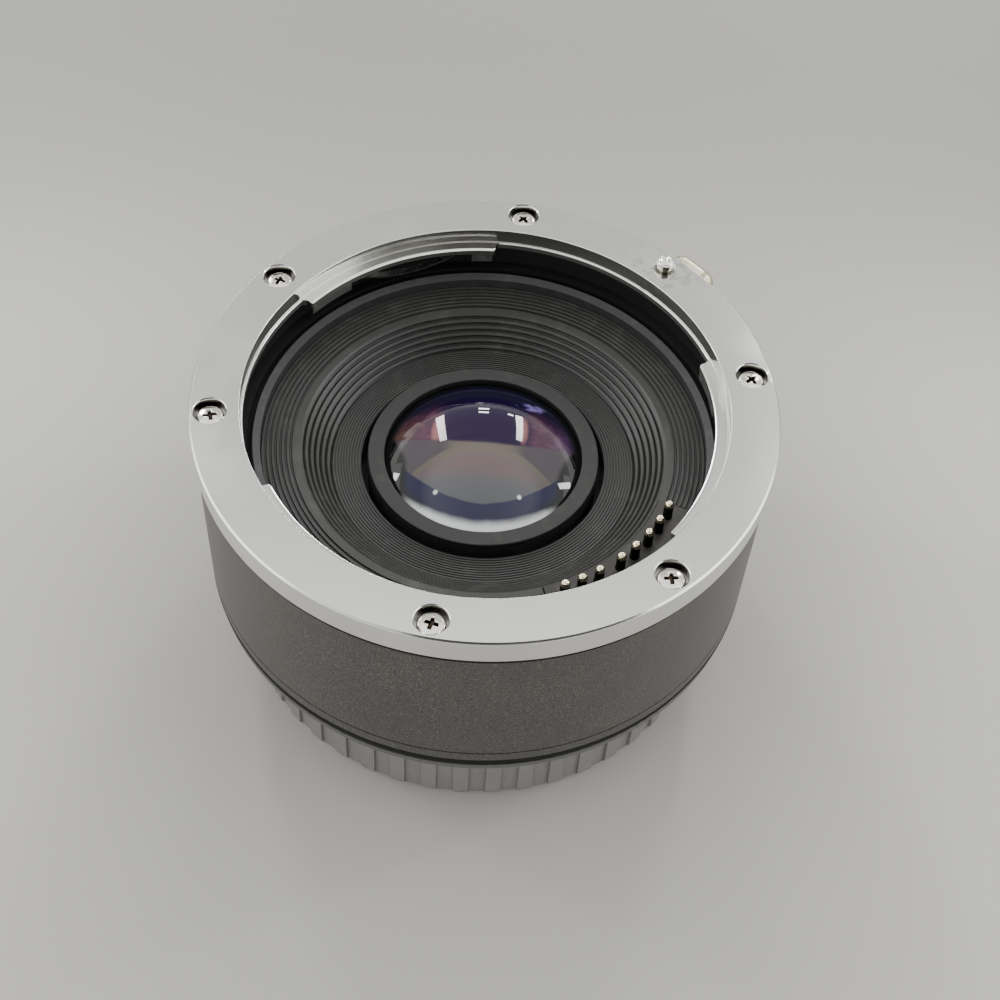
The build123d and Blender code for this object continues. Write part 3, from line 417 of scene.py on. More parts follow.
@dataclass(frozen=True)
class SpeckledPaint(Finish):
    """Baked paint with a fine pale speckle, and dark lines of painted shade below the first and above the
    second height.
    """

    colour: Colour = (0.04, 0.0385, 0.035)
    speck: Colour = (0.15, 0.145, 0.133)
    grain: Cloud = Cloud(5600, 3, 0.42, 0.72)
    gloss: float = 0.4
    # The colour of the painted shade lines.
    line: Colour = (0.004, 0.004, 0.004)
    shade_line_heights: Point = (-1.0, 1.0)
    shade_line_fades: Point = (0.05 * MM, 0.03 * MM)
    grain_depth: float = 0.006 * MM

    def draw(self, graph: Graph) -> None:
        """Draw the finish's shader.

        Args:
            graph: The shader, still empty.
        """
        grain = self.grain.on(graph)
        height = graph.height()
        lowest, highest = self.shade_line_heights
        low_fade, high_fade = self.shade_line_fades
        # Painted shade in a line at each height: under the front ring's overhang and along the rear ring's
        # bottom.
        line = height.smooth(highest - high_fade, highest) + height.fall(lowest, lowest + low_fade)
        specks = grain * (0.45 + graph.noise(120, 3) * 0.5)
        base = graph.coats(self.colour, (specks, self.speck), (line, self.line))
        gloss = self.gloss + grain * 0.12 + line * 0.5
        normal = graph.bump(graph.noise(4200, 2), self.grain_depth)
        graph.surface(Base_Color=base, Roughness=gloss, Specular_IOR_Level=0.35, Normal=normal)


@dataclass(frozen=True)
class Anodised(Finish):
    """Dark anodised alloy with turning marks, thinner dye in patches and near-black painted shade beyond a
    radius.
    """

    colour: Colour = (0.05, 0.05, 0.05)
    worn_colour: Colour = (0.11, 0.11, 0.11)
    thinning: Cloud = Cloud(700, 4, 0.5, 0.8)
    gloss: float = 0.38
    metal: float = 0.3
    shine: float = 0.5
    # The colour of the painted shade beyond the radius.
    black: Colour = (0.003, 0.003, 0.003)
    shade_beyond: float = 1.0
    shade_fade: float = 0.1 * MM
    mark_pitch: float = 0.09 * MM
    mark_depth: float = 0.003 * MM

    def draw(self, graph: Graph) -> None:
        """Draw the finish's shader.

        Args:
            graph: The shader, still empty.
        """
        marks = graph.turned_marks(self.mark_pitch)
        thin = self.thinning.on(graph) * 0.5 + marks * 0.3
        # Painted shade beyond the radius, in the recess.
        recess_shade = graph.radius().smooth(self.shade_beyond, self.shade_beyond + self.shade_fade)
        graph.surface(
            Base_Color=graph.coats(self.colour, (thin, self.worn_colour), (recess_shade, self.black)),
            Metallic=self.metal,
            Roughness=self.gloss + marks * 0.12 + recess_shade * 0.3,
            Specular_IOR_Level=self.shine,
            Normal=graph.bump(marks, self.mark_depth),
        )


@dataclass(frozen=True)
class Moulded(Finish):
    """Moulded or painted matt black with a fine grain, so many to a metre, and a little dust."""

    colour: Colour = (0.031, 0.031, 0.03)
    dust: Colour = (0.12, 0.12, 0.112)
    gloss: float = 0.44
    grain: float = 5000
    depth: float = 0.008 * MM

    def draw(self, graph: Graph) -> None:
        """Draw the finish's shader.

        Args:
            graph: The shader, still empty.
        """
        grain = graph.noise(self.grain, 2)
        dust = Cloud(self.grain / 12, 4, 0.5, 0.85).on(graph)
        motes = graph.specks(self.grain / 6, 0.02, 0.07)
        base = graph.blend(dust * 0.35 + motes * 0.35 + grain * 0.1, self.colour, self.dust)
        normal = graph.bump(grain, self.depth)
        graph.surface(Base_Color=base, Roughness=self.gloss + dust * 0.12, Normal=normal)


@dataclass(frozen=True)
class CapPlastic(Finish):
    """The rear cap's pale dusty skirt and, higher up, its darker lip and its mouth, black with painted
    shade from the gap under the converter.
    """

    skirt: Colour = (0.17, 0.167, 0.158)
    dust: Colour = (0.3, 0.295, 0.28)
    dusting: Cloud = Cloud(350, 4, 0.5, 0.85)
    lip: Colour = (0.09, 0.087, 0.082)
    # The colour of the painted shade on the mouth.
    mouth: Colour = (0.006, 0.006, 0.006)
    lip_band: Point = (11.45 * MM, 11.55 * MM)
    mouth_shade_band: Point = (12.3 * MM, 12.38 * MM)
    grain_depth: float = 0.012 * MM

    def draw(self, graph: Graph) -> None:
        """Draw the finish's shader.

        Args:
            graph: The shader, still empty.
        """
        height = graph.height()
        grain = graph.noise(4200, 2)
        dust = self.dusting.on(graph)
        base = graph.coats(
            self.skirt,
            (dust * 0.4 + grain * 0.15, self.dust),
            (height.smooth(*self.lip_band), self.lip),
            # Painted shade on the mouth, in the gap under the converter.
            (height.smooth(*self.mouth_shade_band), self.mouth),
        )
        normal = graph.bump(grain, self.grain_depth)
        graph.surface(Base_Color=base, Roughness=0.5 + dust * 0.12, Normal=normal)


@dataclass(frozen=True)
class Gilt(Finish):
    """Gold flash on small contacts, rubbed thin in patches, with painted shade darkening the part below the
    ball.
    """

    colour: Colour = (1.0, 0.9, 0.62)
    rubbed: Colour = (0.9, 0.86, 0.7)
    rubbing: Cloud = Cloud(3500, 3, 0.45, 0.7)
    # The colour of the painted shade below the ball.
    stem: Colour = (0.014, 0.012, 0.006)
    ball_low: float = -1.0
    ball_fade: float = 0.1 * MM
    ripple_depth: float = 0.002 * MM

    def draw(self, graph: Graph) -> None:
        """Draw the finish's shader.

        Args:
            graph: The shader, still empty.
        """
        rub = self.rubbing.on(graph)
        # Painted shade below the ball.
        below = graph.height().fall(self.ball_low - self.ball_fade, self.ball_low)
        base = graph.coats(self.colour, (rub * 0.7, self.rubbed), (below, self.stem))
        dull = 0.06 + rub * 0.04 + below * 0.4
        normal = graph.bump(graph.noise(9000, 1), self.ripple_depth)
        graph.surface(Base_Color=base, Metallic=1.0, Roughness=dull, Normal=normal)


@dataclass(frozen=True)
class CoatedGlass(Finish):
    """A polished lens with a trace of haze and a coloured coating, its film in nanometres."""

    tint: Colour = (0.9, 0.86, 0.95)
    index: float = 1.62
    film: float = 480.0
    film_index: float = 1.38
    haze: Cloud = Cloud(260, 5, 0.62, 0.9)

    def draw(self, graph: Graph) -> None:
        """Draw the finish's shader."""
        graph.surface(
            Base_Color=self.tint,
            Roughness=self.haze.on(graph) * 0.03,
            IOR=self.index,
            Transmission_Weight=1.0,
            Thin_Film_Thickness=self.film,
            Thin_Film_IOR=self.film_index,
        )


@dataclass(frozen=True)
class Edge:
    """An edge across the front lens that bends as a parabola, in millimetres.

    Its height is that on the lens's middle line, below zero nearer to the contacts, and it fades over
    its softness to either side.
    """

    height: float
    bend: float
    soft: float


@dataclass(frozen=True)
class Spot:
    """A soft oval spot on the front lens: its middle and half its size, in millimetres."""

    across: float
    along: float
    wide: float
    long: float


class LensPlan:
    """The plan of the front lens, on which its painted reflections, painted shade and coating tints are
    laid out.
    """

    def __init__(self, graph: Graph) -> None:
        """Take the place on the lens, with the painted pattern's unevenness.

        Args:
            graph: The lens's shader.
        """
        self.across, self.along, _ = graph.axes()
        self.square = self.across * self.across
        self.side = self.square ** 0.5
        self.drift = (graph.noise(420, 4) - 0.5) * PATTERN_DRIFT
        self.near = self.along + self.drift * 0.3

    def above(self, edge: Edge) -> Signal:
        """1 above a bent edge and 0 below it."""
        bent = self.near - self.square * (edge.bend / MM)
        return bent.smooth((edge.height - edge.soft) * MM, (edge.height + edge.soft) * MM)

    def line(self, edge: Edge) -> Signal:
        """1 on the thin line between a bent edge and the same edge a little higher."""
        higher = Edge(edge.height + edge.soft, edge.bend, edge.soft)
        return self.above(edge) * (1 - self.above(higher))

    def spot(self, spot: Spot) -> Signal:
        """A soft oval spot.

        Args:
            spot: Its place and size.

        Returns:
            1 in its middle, falling to 0 at its edge.
        """
        across = (self.across - spot.across * MM) / (spot.wide * MM)
        along = (self.along - spot.along * MM) / (spot.long * MM)
        return (across * across + along * along).fall(0.0, 1.0)


@dataclass(frozen=True)
class FrontGlass(Finish):
    """The front lens: a polished face, its colours painted reflections of the room and of the glass behind
    it, with some coating tints.

    The far half is violet, magenta in its wings and amber or lilac at their tips, with a dark top. The
    near half is olive above the inner lens, which is rose over mist, and navy in a crescent under it. A
    pearl crescent of painted reflection follows the near edge, inside the dark rim and flanks of painted
    shade; the glints and the flare are painted reflections too. A colour lies above or below the edge that
    has its name. A band, in metres, is the stretch over which something fades in or out.
    """

    index: float = 1.5
    top: Colour = (0.006, 0.004, 0.02)
    violet: Colour = (0.01, 0.0015, 0.03)
    magenta: Colour = (0.11, 0.042, 0.07)
    amber: Colour = (0.16, 0.085, 0.05)
    lilac: Colour = (0.1, 0.055, 0.13)
    olive: Colour = (0.12, 0.1, 0.084)
    rose: Colour = (0.125, 0.09, 0.09)
    mist: Colour = (0.09, 0.093, 0.104)
    navy: Colour = (0.004, 0.004, 0.045)
    pearl: Colour = (0.95, 0.97, 1.0)
    flare: Colour = (0.75, 0.33, 0.3)
    lavender: Colour = (0.36, 0.28, 0.75)
    rim: Colour = (0.004, 0.005, 0.005)
    top_edge: Edge = Edge(6.3, -0.035, 1.7)
    far_line: Edge = Edge(4.9, -0.037, 0.12)
    far_edge: Edge = Edge(-0.7, 0.015, 0.25)
    shade_edge: Edge = Edge(-0.9, -0.055, 0.15)
    inner_edge: Edge = Edge(-2.1, -0.045, 0.2)
    inner_line: Edge = Edge(-2.5, -0.045, 0.18)
    rose_edge: Edge = Edge(-5.0, 0.0, 1.3)
    navy_edge: Edge = Edge(-8.14, 0.06, 0.15)
    pearl_edge: Edge = Edge(-10.2, 0.045, 0.55)
    wing_band: Point = (4.2 * MM, 6.2 * MM)
    tip_band: Point = (6.5 * MM, 10.5 * MM)
    hue_band: Point = (-2 * MM, 2 * MM)
    shade_band: Point = (3 * MM, 5 * MM)
    pearl_band: Point = (7.2 * MM, 9.4 * MM)
    rim_band: Point = (9.7 * MM, 10.9 * MM)
    flank_band: Point = (8.2 * MM, 8.9 * MM)
    flank_middle: float = -4.6 * MM
    flank_bend: float = 0.06 / MM
    streak_spot: Spot = Spot(5.2, 6.6, 2.2, 1.0)
    # Painted flare beside the strip lights' reflections, and painted glints.
    fringes: tuple[Spot, ...] = (Spot(-5.4, 1.3, 0.9, 2.8), Spot(4.4, 2.0, 0.7, 2.7))
    glints: tuple[Spot, ...] = (Spot(-5.0, -6.9, 0.34, 0.34), Spot(4.4, -6.9, 0.34, 0.34))
    streaks: Cloud = Cloud(900, 5, 0.45, 0.7)

    def draw(self, graph: Graph) -> None:
        """Draw the finish's shader.

        Args:
            graph: The shader, still empty.
        """
        # Painted reflections and painted shade, laid out by place on the lens.
        plan = LensPlan(graph)
        streaks = self.streaks.on(graph)
        outwards = plan.side + plan.drift
        wing = outwards.smooth(*self.wing_band)
        tips = graph.blend(plan.across.smooth(*self.hue_band), self.amber, self.lilac)
        sides = graph.blend(outwards.smooth(*self.tip_band), self.magenta, tips)
        far_half = graph.coats(
            self.violet,
            (wing * (0.55 + streaks * 0.45), sides),
            (plan.above(self.top_edge), self.top),
            (plan.line(self.far_line) * wing * 0.8, self.rose),
            (plan.spot(self.streak_spot) * streaks * 0.55, self.lavender),
            *((plan.spot(fringe) * 0.35, self.flare) for fringe in self.fringes),
        )
        near_half = graph.coats(
            self.mist,
            (plan.above(self.rose_edge), self.rose),
            (plan.line(self.inner_line) * 0.5, self.mist),
            (plan.above(self.inner_edge), self.olive),
            (plan.above(self.shade_edge) * plan.side.smooth(*self.shade_band) * 0.45, self.navy),
            (1 - plan.above(self.navy_edge), self.navy),
        )
        beyond = plan.near - self.flank_middle
        flank = plan.side - beyond * beyond * self.flank_bend
        dust = graph.specks(2600, 0.02, 0.05)
        # Painted shade on the rim and flanks; painted reflection in the pearl crescent and the glints.
        whole = graph.coats(
            near_half,
            (plan.above(self.far_edge), far_half),
            (graph.radius().smooth(*self.rim_band), self.rim),
            (flank.smooth(*self.flank_band), self.rim),
            ((1 - plan.above(self.pearl_edge)) * plan.side.fall(*self.pearl_band), self.pearl),
            *((plan.spot(glint) * 0.9, self.pearl) for glint in self.glints),
            (dust * 0.3, self.mist),
        )
        graph.surface(Base_Color=whole, Roughness=0.02 + dust * 0.2, IOR=self.index)


@dataclass(frozen=True)
class Lacquer(Finish):
    """A glossy coloured film with thinner patches: index marks, solder resist or amber strip."""

    colour: Colour = (0.5, 0.015, 0.012)
    shade: Colour = (0.3, 0.01, 0.01)
    thinning: Cloud = Cloud(1800, 3, 0.4, 0.75)
    gloss: float = 0.25
    ripple_depth: float = 0.004 * MM

    def draw(self, graph: Graph) -> None:
        """Draw the finish's shader.

        Args:
            graph: The shader, still empty.
        """
        thin = self.thinning.on(graph)
        base = graph.blend(thin, self.colour, self.shade)
        normal = graph.bump(graph.noise(3000, 2), self.ripple_depth)
        graph.surface(Base_Color=base, Roughness=self.gloss + thin * 0.1, Normal=normal, Coat_Weight=0.3)


@dataclass(frozen=True)
class FloorPaper(Finish):
    """The floor's pale paper, with painted light making it lighter to the left and right and painted shade
    making it darker beyond, in bands in metres.
    """

    colour: Colour = (0.42, 0.413, 0.395)
    cloudy: Colour = (0.475, 0.468, 0.449)
    aside: Colour = (0.57, 0.56, 0.535)
    beyond: Colour = (0.31, 0.305, 0.29)
    painted_light_band: Point = (0.02, 0.075)
    near_band: Point = (0.03, 0.09)
    painted_shade_band: Point = (0.03, 0.12)

    def draw(self, graph: Graph) -> None:
        """Draw the finish's shader.

        Args:
            graph: The shader, still empty.
        """
        x, y, _ = graph.axes()
        # Painted light to the left and right, and painted shade beyond.
        aside = ((x * x) ** 0.5).smooth(*self.painted_light_band) * y.fall(*self.near_band)
        base = graph.coats(
            self.colour,
            (graph.noise(3, 2), self.cloudy),
            (aside, self.aside),
            (y.smooth(*self.painted_shade_band), self.beyond),
        )
        graph.surface(Base_Color=base, Roughness=0.5, Specular_IOR_Level=0.25)


@dataclass(frozen=True)
class DarkFelt(Finish):
    """The dark card's felt and its nap."""

    colour: Colour = (0.02, 0.017, 0.014)
    nap: Colour = (0.035, 0.03, 0.025)

    def draw(self, graph: Graph) -> None:
        """Draw the finish's shader."""
        graph.surface(Base_Color=graph.blend(graph.noise(8, 2), self.colour, self.nap), Roughness=0.8)


# The camera looks down by SIGHT_DROP degrees, so the ring's overhang hides the barrel's top by SHADOW. The
# barrel gets a line of painted shade just below that, and another along the rear ring's bottom edge.
SIGHT_DROP = 51.5
HIGH_SHADE_LINE = 0.35 * MM
LOW_SHADE_LINE = 0.7 * MM
CROSS_DEPTH = 0.2 * MM
BALL_HEIGHT = 0.6 * MM
RING_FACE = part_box("front_mount")[1].z
# The screws' cross recesses get painted shade below this height.
CROSS_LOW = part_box("front_mount_screws")[1].z - CROSS_DEPTH
BALL_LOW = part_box("contact_pin_1")[1].z - BALL_HEIGHT
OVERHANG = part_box("front_mount")[1].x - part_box("barrel")[1].x
SHADOW = OVERHANG * math.tan(math.radians(SIGHT_DROP))
SHADE_LINE_HEIGHTS = (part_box("rear_ring")[0].z + LOW_SHADE_LINE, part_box("front_shim")[1].z - SHADOW - HIGH_SHADE_LINE)

FLANGE_PLATING = SatinPlating("flange_plating", face=RING_FACE)
SCREW_STEEL = BrightSteel("screw_plating", dark_below=CROSS_LOW)
LOCK_STEEL = BrightSteel("lock_steel", colour=(0.92, 0.9, 0.84), stain=(0.5, 0.46, 0.34))
KNOB_PLATING = BrightSteel(
    "knob_plating", colour=(0.5, 0.48, 0.36), stain=(0.16, 0.15, 0.06), gloss=0.34, stained=0.9
)
CONTACT_GILT = Gilt("contact_gold", ball_low=BALL_LOW)
FRONT_GLASS = FrontGlass("front_glass")
RING_BLACK = Anodised(
    "ring_black", colour=(0.022, 0.022, 0.022), worn_colour=(0.05, 0.05, 0.048), gloss=0.44
)

SLOT_FINISHES: dict[str, Finish] = {
    "bayonet_chrome": FLANGE_PLATING,
    "screw_steel": SCREW_STEEL,
    "polished_steel": LOCK_STEEL,
    "spring_steel": BrightSteel(
        "spring_wire", colour=(0.4, 0.4, 0.4), stain=(0.2, 0.19, 0.17), gloss=0.24
    ),
    "barrel_paint": SpeckledPaint("barrel_speckle", shade_line_heights=SHADE_LINE_HEIGHTS),
    "shim_black": Anodised("shim_film", colour=(0.012, 0.012, 0.012), worn_colour=(0.04, 0.04, 0.04)),
    # Beyond the radius given here the frame's recess walls get painted shade.
    "chassis_alloy": Anodised(
        "frame_alloy", colour=(0.03, 0.03, 0.031), worn_colour=(0.07, 0.07, 0.07), gloss=0.42, metal=0.0,
        shine=0.4, shade_beyond=26.15 * MM,
    ),
    "cell_black": Anodised("cell_matt", colour=(0.035, 0.035, 0.036), worn_colour=(0.08, 0.08, 0.08)),
    "baffle_black": Moulded("baffle_matt"),
    "contact_plastic": Moulded("block_plastic", colour=(0.022, 0.02, 0.018), gloss=0.36),
    "contact_gilt": CONTACT_GILT,
    "coated_glass": CoatedGlass("lens_glass"),
    "board_green": Lacquer(
        "board_lacquer", colour=(0.02, 0.14, 0.06), shade=(0.01, 0.08, 0.03), gloss=0.3
    ),
    "chip_black": Moulded("chip_resin", colour=(0.02, 0.02, 0.022), gloss=0.5, grain=9000),
    "flex_amber": Lacquer("flex_film", colour=(0.5, 0.25, 0.05), shade=(0.36, 0.16, 0.03), gloss=0.3),
    "mark_red": Lacquer("mark_lacquer"),
    "cap_plastic": CapPlastic("cap_moulding"),
}


@dataclass(frozen=True)
class Panel:
    """A soft box that faces the part: its centre, its width and height, and its power in watts."""

    name: str
    place: Corner
    size: Point
    power: float


@dataclass(frozen=True)
class Strip:
    """A narrow light that shows in the front lens.

    Its ends, lower and upper, lie at degrees from +Y towards +X and at degrees above the floor. Its power
    is in watts.
    """

    name: str
    azimuth: Point
    elevation: Point
    width: float
    power: float


PANELS = (
    Panel("left_window", (-1.2, 0.0, 0.42), (1.3, 0.8), 3),
    Panel("right_window", (1.2, 0.0, 0.42), (1.3, 0.8), 4),
    Panel("front_fill", (0.0, -1.1, 0.2), (1.8, 0.35), 4),
)

STRIPS = (
    Strip("left_strip", (-22.0, -32.0), (21.5, 45.0), 0.052, 1.3),
    Strip("right_strip", (14.0, 24.5), (22.0, 44.2), 0.045, 1.2),
    Strip("far_bar_low", (-2.0, -2.0), (21.0, 22.6), 0.06, 0.14),
    Strip("far_bar_high", (-2.0, -2.0), (25.0, 26.6), 0.06, 0.14),
    Strip("side_bar_low", (10.5, 10.5), (19.0, 20.6), 0.034, 0.08),
    Strip("side_bar_high", (10.5, 10.5), (23.0, 24.6), 0.034, 0.08),
    Strip("left_glint", (-66.0, -70.0), (20.0, 34.0), 0.06, 0.9),
    Strip("right_glint", (64.0, 69.0), (23.0, 39.0), 0.05, 0.8),
)


@dataclass
class Studio:
    """The camera at the photograph's place, a pale floor and soft light.

    The camera looks down by its elevation and is rolled; its lens and sensor are in millimetres. The
    room's tones go by the sine of the direction's elevation. The side gain is how much brighter the room
    is at its left and right than ahead.
    """

    camera_place: Corner = (2.28 * MM, -120.2 * MM, 170.5 * MM)
    elevation: float = 51.53
    roll: float = 4.09
    focal_length: float = 58.53
    sensor_width: float = 36
    near_clip: float = 0.01
    floor_half: float = 3.0
    strip_distance: float = 0.8
    card_place: Corner = (0.3, -0.85, 0.95)
    card_size: Point = (1.7, 0.9)
    room_strength: float = 0.68
    room_tones: tuple[tuple[float, Colour], ...] = (
        (0.0, (1.35, 1.33, 1.27)),
        (0.4, (1.0, 0.99, 0.96)),
        (0.55, (0.92, 0.92, 0.9)),
        (0.67, (1.07, 1.07, 1.05)),
        (0.76, (1.06, 1.06, 1.04)),
        (0.85, (2.1, 2.1, 2.07)),
    )
    side_gain: float = 1.5

    def build(self) -> None:
        """Make the camera, the floor and the lights."""
        self.add_camera()
        self.add_floor()
        self.add_world()
        self.add_dark_side()
        for panel in PANELS:
            self.add_panel(panel)
        for strip in STRIPS:
            self.add_strip(strip)

    def add_camera(self) -> None:
        """Place the camera and make it the scene's."""
        bpy.ops.object.camera_add()
        camera = bpy.context.object
        camera.name = "camera"
        camera.data.sensor_width = self.sensor_width
        camera.data.lens = self.focal_length
        camera.data.clip_start = self.near_clip
        down, roll = math.radians(self.elevation), math.radians(self.roll)
        ahead = Vector((0, math.cos(down), -math.sin(down)))
        level_up = Vector((0, math.sin(down), math.cos(down)))
        level_right = Vector((1, 0, 0))
        right = level_right * math.cos(roll) + level_up * math.sin(roll)
        up = level_up * math.cos(roll) - level_right * math.sin(roll)
        turn = Matrix((right, up, -ahead)).transposed().to_4x4()
        camera.matrix_world = Matrix.Translation(self.camera_place) @ turn
        bpy.context.scene.camera = camera

    def add_floor(self) -> None:
        """Lay the pale floor under the cap."""
        bpy.ops.mesh.primitive_plane_add(size=2 * self.floor_half, location=(0, 0, 0))
        floor = bpy.context.object
        floor.name = "floor"
        floor.data.materials.append(FloorPaper("floor_paper").material())

    def add_world(self) -> None:
        """Give the room its soft light, brighter at its left and right."""
        world = bpy.data.worlds.new("room")
        bpy.context.scene.world = world
        graph = Graph(world)
        direction = graph.node("ShaderNodeTexCoord", {}, {}).outputs["Generated"]
        split = graph.node("ShaderNodeSeparateXYZ", {}, {0: direction})
        ramp = graph.node("ShaderNodeValToRGB", {"stops": self.room_tones}, {0: split.outputs["Z"]})
        across = Signal(graph, split.outputs["X"])
        gain = self.room_strength * self.side_gain
        strength = (across * across).maths("MULTIPLY_ADD", gain, self.room_strength)
        sockets = {"Color": ramp.outputs["Color"], "Strength": strength}
        light = graph.node("ShaderNodeBackground", {}, sockets)
        graph.node("ShaderNodeOutputWorld", {}, {"Surface": light.outputs[0]})

    def add_dark_side(self) -> None:
        """Stand the dark card behind the camera, as the unlit side of the room."""
        bpy.ops.mesh.primitive_plane_add(size=1)
        card = bpy.context.object
        card.name = "dark_card"
        card.scale = (*self.card_size, 1)
        card.location = self.card_place
        card.rotation_euler = Vector(self.card_place).to_track_quat("Z", "Y").to_euler()
        card.data.materials.append(DarkFelt("card_felt").material())

    def add_panel(self, panel: Panel) -> None:
        """Hang one soft box, facing the part."""
        turn = (-Vector(panel.place)).to_track_quat("-Z", "Y").to_matrix().to_4x4()
        self.add_light(panel.name, Matrix.Translation(panel.place) @ turn, panel.size, panel.power)

    def add_strip(self, strip: Strip) -> None:
        """Hang one narrow light, facing the part.

        Args:
            strip: The light.
        """
        ends = []
        for azimuth, elevation in zip(strip.azimuth, strip.elevation):
            up, aside = math.radians(elevation), math.radians(azimuth)
            level = Vector((math.sin(aside), math.cos(aside), 0)) * math.cos(up)
            ends.append((level + Vector((0, 0, math.sin(up)))) * self.strip_distance)
        along = ends[1] - ends[0]
        middle = (ends[0] + ends[1]) / 2
        back = middle.normalized()
        across = along.cross(back).normalized()
        turn = Matrix((across, back.cross(across), back)).transposed().to_4x4()
        size = (strip.width, along.length)
        self.add_light(strip.name, Matrix.Translation(middle) @ turn, size, strip.power)

    @staticmethod
    def add_light(name: str, matrix: Matrix, size: Point, power: float) -> None:
        """Hang one rectangular light.

        Args:
            name: The light's name.
            matrix: Its place and turn.
            size: Its width and height.
            power: Its power in watts.
        """
        bpy.ops.object.light_add(type="AREA")
        light = bpy.context.object
        light.name = name
        light.data.shape = "RECTANGLE"
        light.data.size, light.data.size_y = size
        light.data.energy = power
        light.matrix_world = matrix


def low(node: str) -> float:
    """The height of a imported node's lowest point, in millimetres."""
    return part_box(node)[0].z / MM


def high(node: str) -> float:
    """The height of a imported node's highest point, in millimetres."""
    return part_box(node)[1].z / MM


def reach(node: str) -> float:
    """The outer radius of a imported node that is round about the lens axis, in millimetres."""
    lowest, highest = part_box(node)
    return (highest.x - lowest.x) / 2 / MM


def at_angle(radius: float, angle: float, height: float = 0.0) -> Vector:
    """The point at a radius, an angle and a height about the lens axis."""
    turn = math.radians(angle)
    return Vector((radius * math.cos(turn), radius * math.sin(turn), height))


def rounded(corners: Sequence[Corner], arc_steps: int = 4) -> list[Point]:
    """Round the corners of a closed flat outline.

    Args:
        corners: Two coordinates and a rounding radius for each corner.
        arc_steps: Straight steps in each rounded corner.

    Returns:
        The points of the rounded outline.
    """
    points: list[Point] = []
    for index, (across, along, size) in enumerate(corners):
        here = Vector((across, along))
        if size == 0:
            points.append((across, along))
            continue
        before = (Vector(corners[index - 1][:2]) - here).normalized()
        after = (Vector(corners[(index + 1) % len(corners)][:2]) - here).normalized()
        half = before.angle(after) / 2
        centre = here + (before + after).normalized() * (size / math.sin(half))
        first = here + before * (size / math.tan(half)) - centre
        last = here + after * (size / math.tan(half)) - centre
        for step in range(arc_steps + 1):
            point = centre + first.lerp(last, step / arc_steps).normalized() * size
            points.append((point.x, point.y))
    return points


def arc_points(radius: float, start: float, end: float, step: float = 1.0) -> list[Point]:
    """Points along an arc about the lens axis, both ends included, at most a step apart."""
    count = max(1, math.ceil(abs(end - start) / step))
    return [tuple(at_angle(radius, start + (end - start) * index / count).xy) for index in range(count + 1)]


def sector(inner_r: float, outer_r: float, start: float, end: float) -> list[Point]:
    """The plan of a block between two radii and two angles."""
    return arc_points(outer_r, start, end) + arc_points(inner_r, end, start)


def cap_arc(curve_r: float, radius: float, height: float, steps: int) -> list[Point]:
    """Half the section of a spherical face, from its middle out.

    Args:
        curve_r: The sphere's radius, below zero where the middle lies lower than the edge.
        radius: The face's outer radius.
        height: The height of its edge.
        steps: Straight steps in the half section.

    Returns:
        Radius and height of each point.
    """
    edge = math.sqrt(curve_r**2 - radius**2)
    spread = [radius * index / steps for index in range(steps + 1)]
    return [
        (across, height + math.copysign(math.sqrt(curve_r**2 - across**2) - edge, curve_r))
        for across in spread
    ]


def domed(
    radius: float, top: float, dome: float, edge: float, below: Sequence[Corner], arc_steps: int
) -> list[Point]:
    """Half the section of a turned piece with a domed top.

    Args:
        radius: The radius of its top.
        top: The height of its top.
        dome: The rise of the dome, were it not rounded at its edge.
        edge: The rounding of that edge.
        below: The corners under the top, down to the axis, each with its rounding.
        arc_steps: Straight steps in each rounded corner.

    Returns:
        Radius and height of each point.
    """
    shoulder = top - dome / 2
    outline = rounded([(radius, shoulder, edge), *below, (0, shoulder, 0)], arc_steps)
    return cap_arc(radius**2 / 2 / dome, radius - edge, shoulder, DOME_STEPS) + outline[:-1]


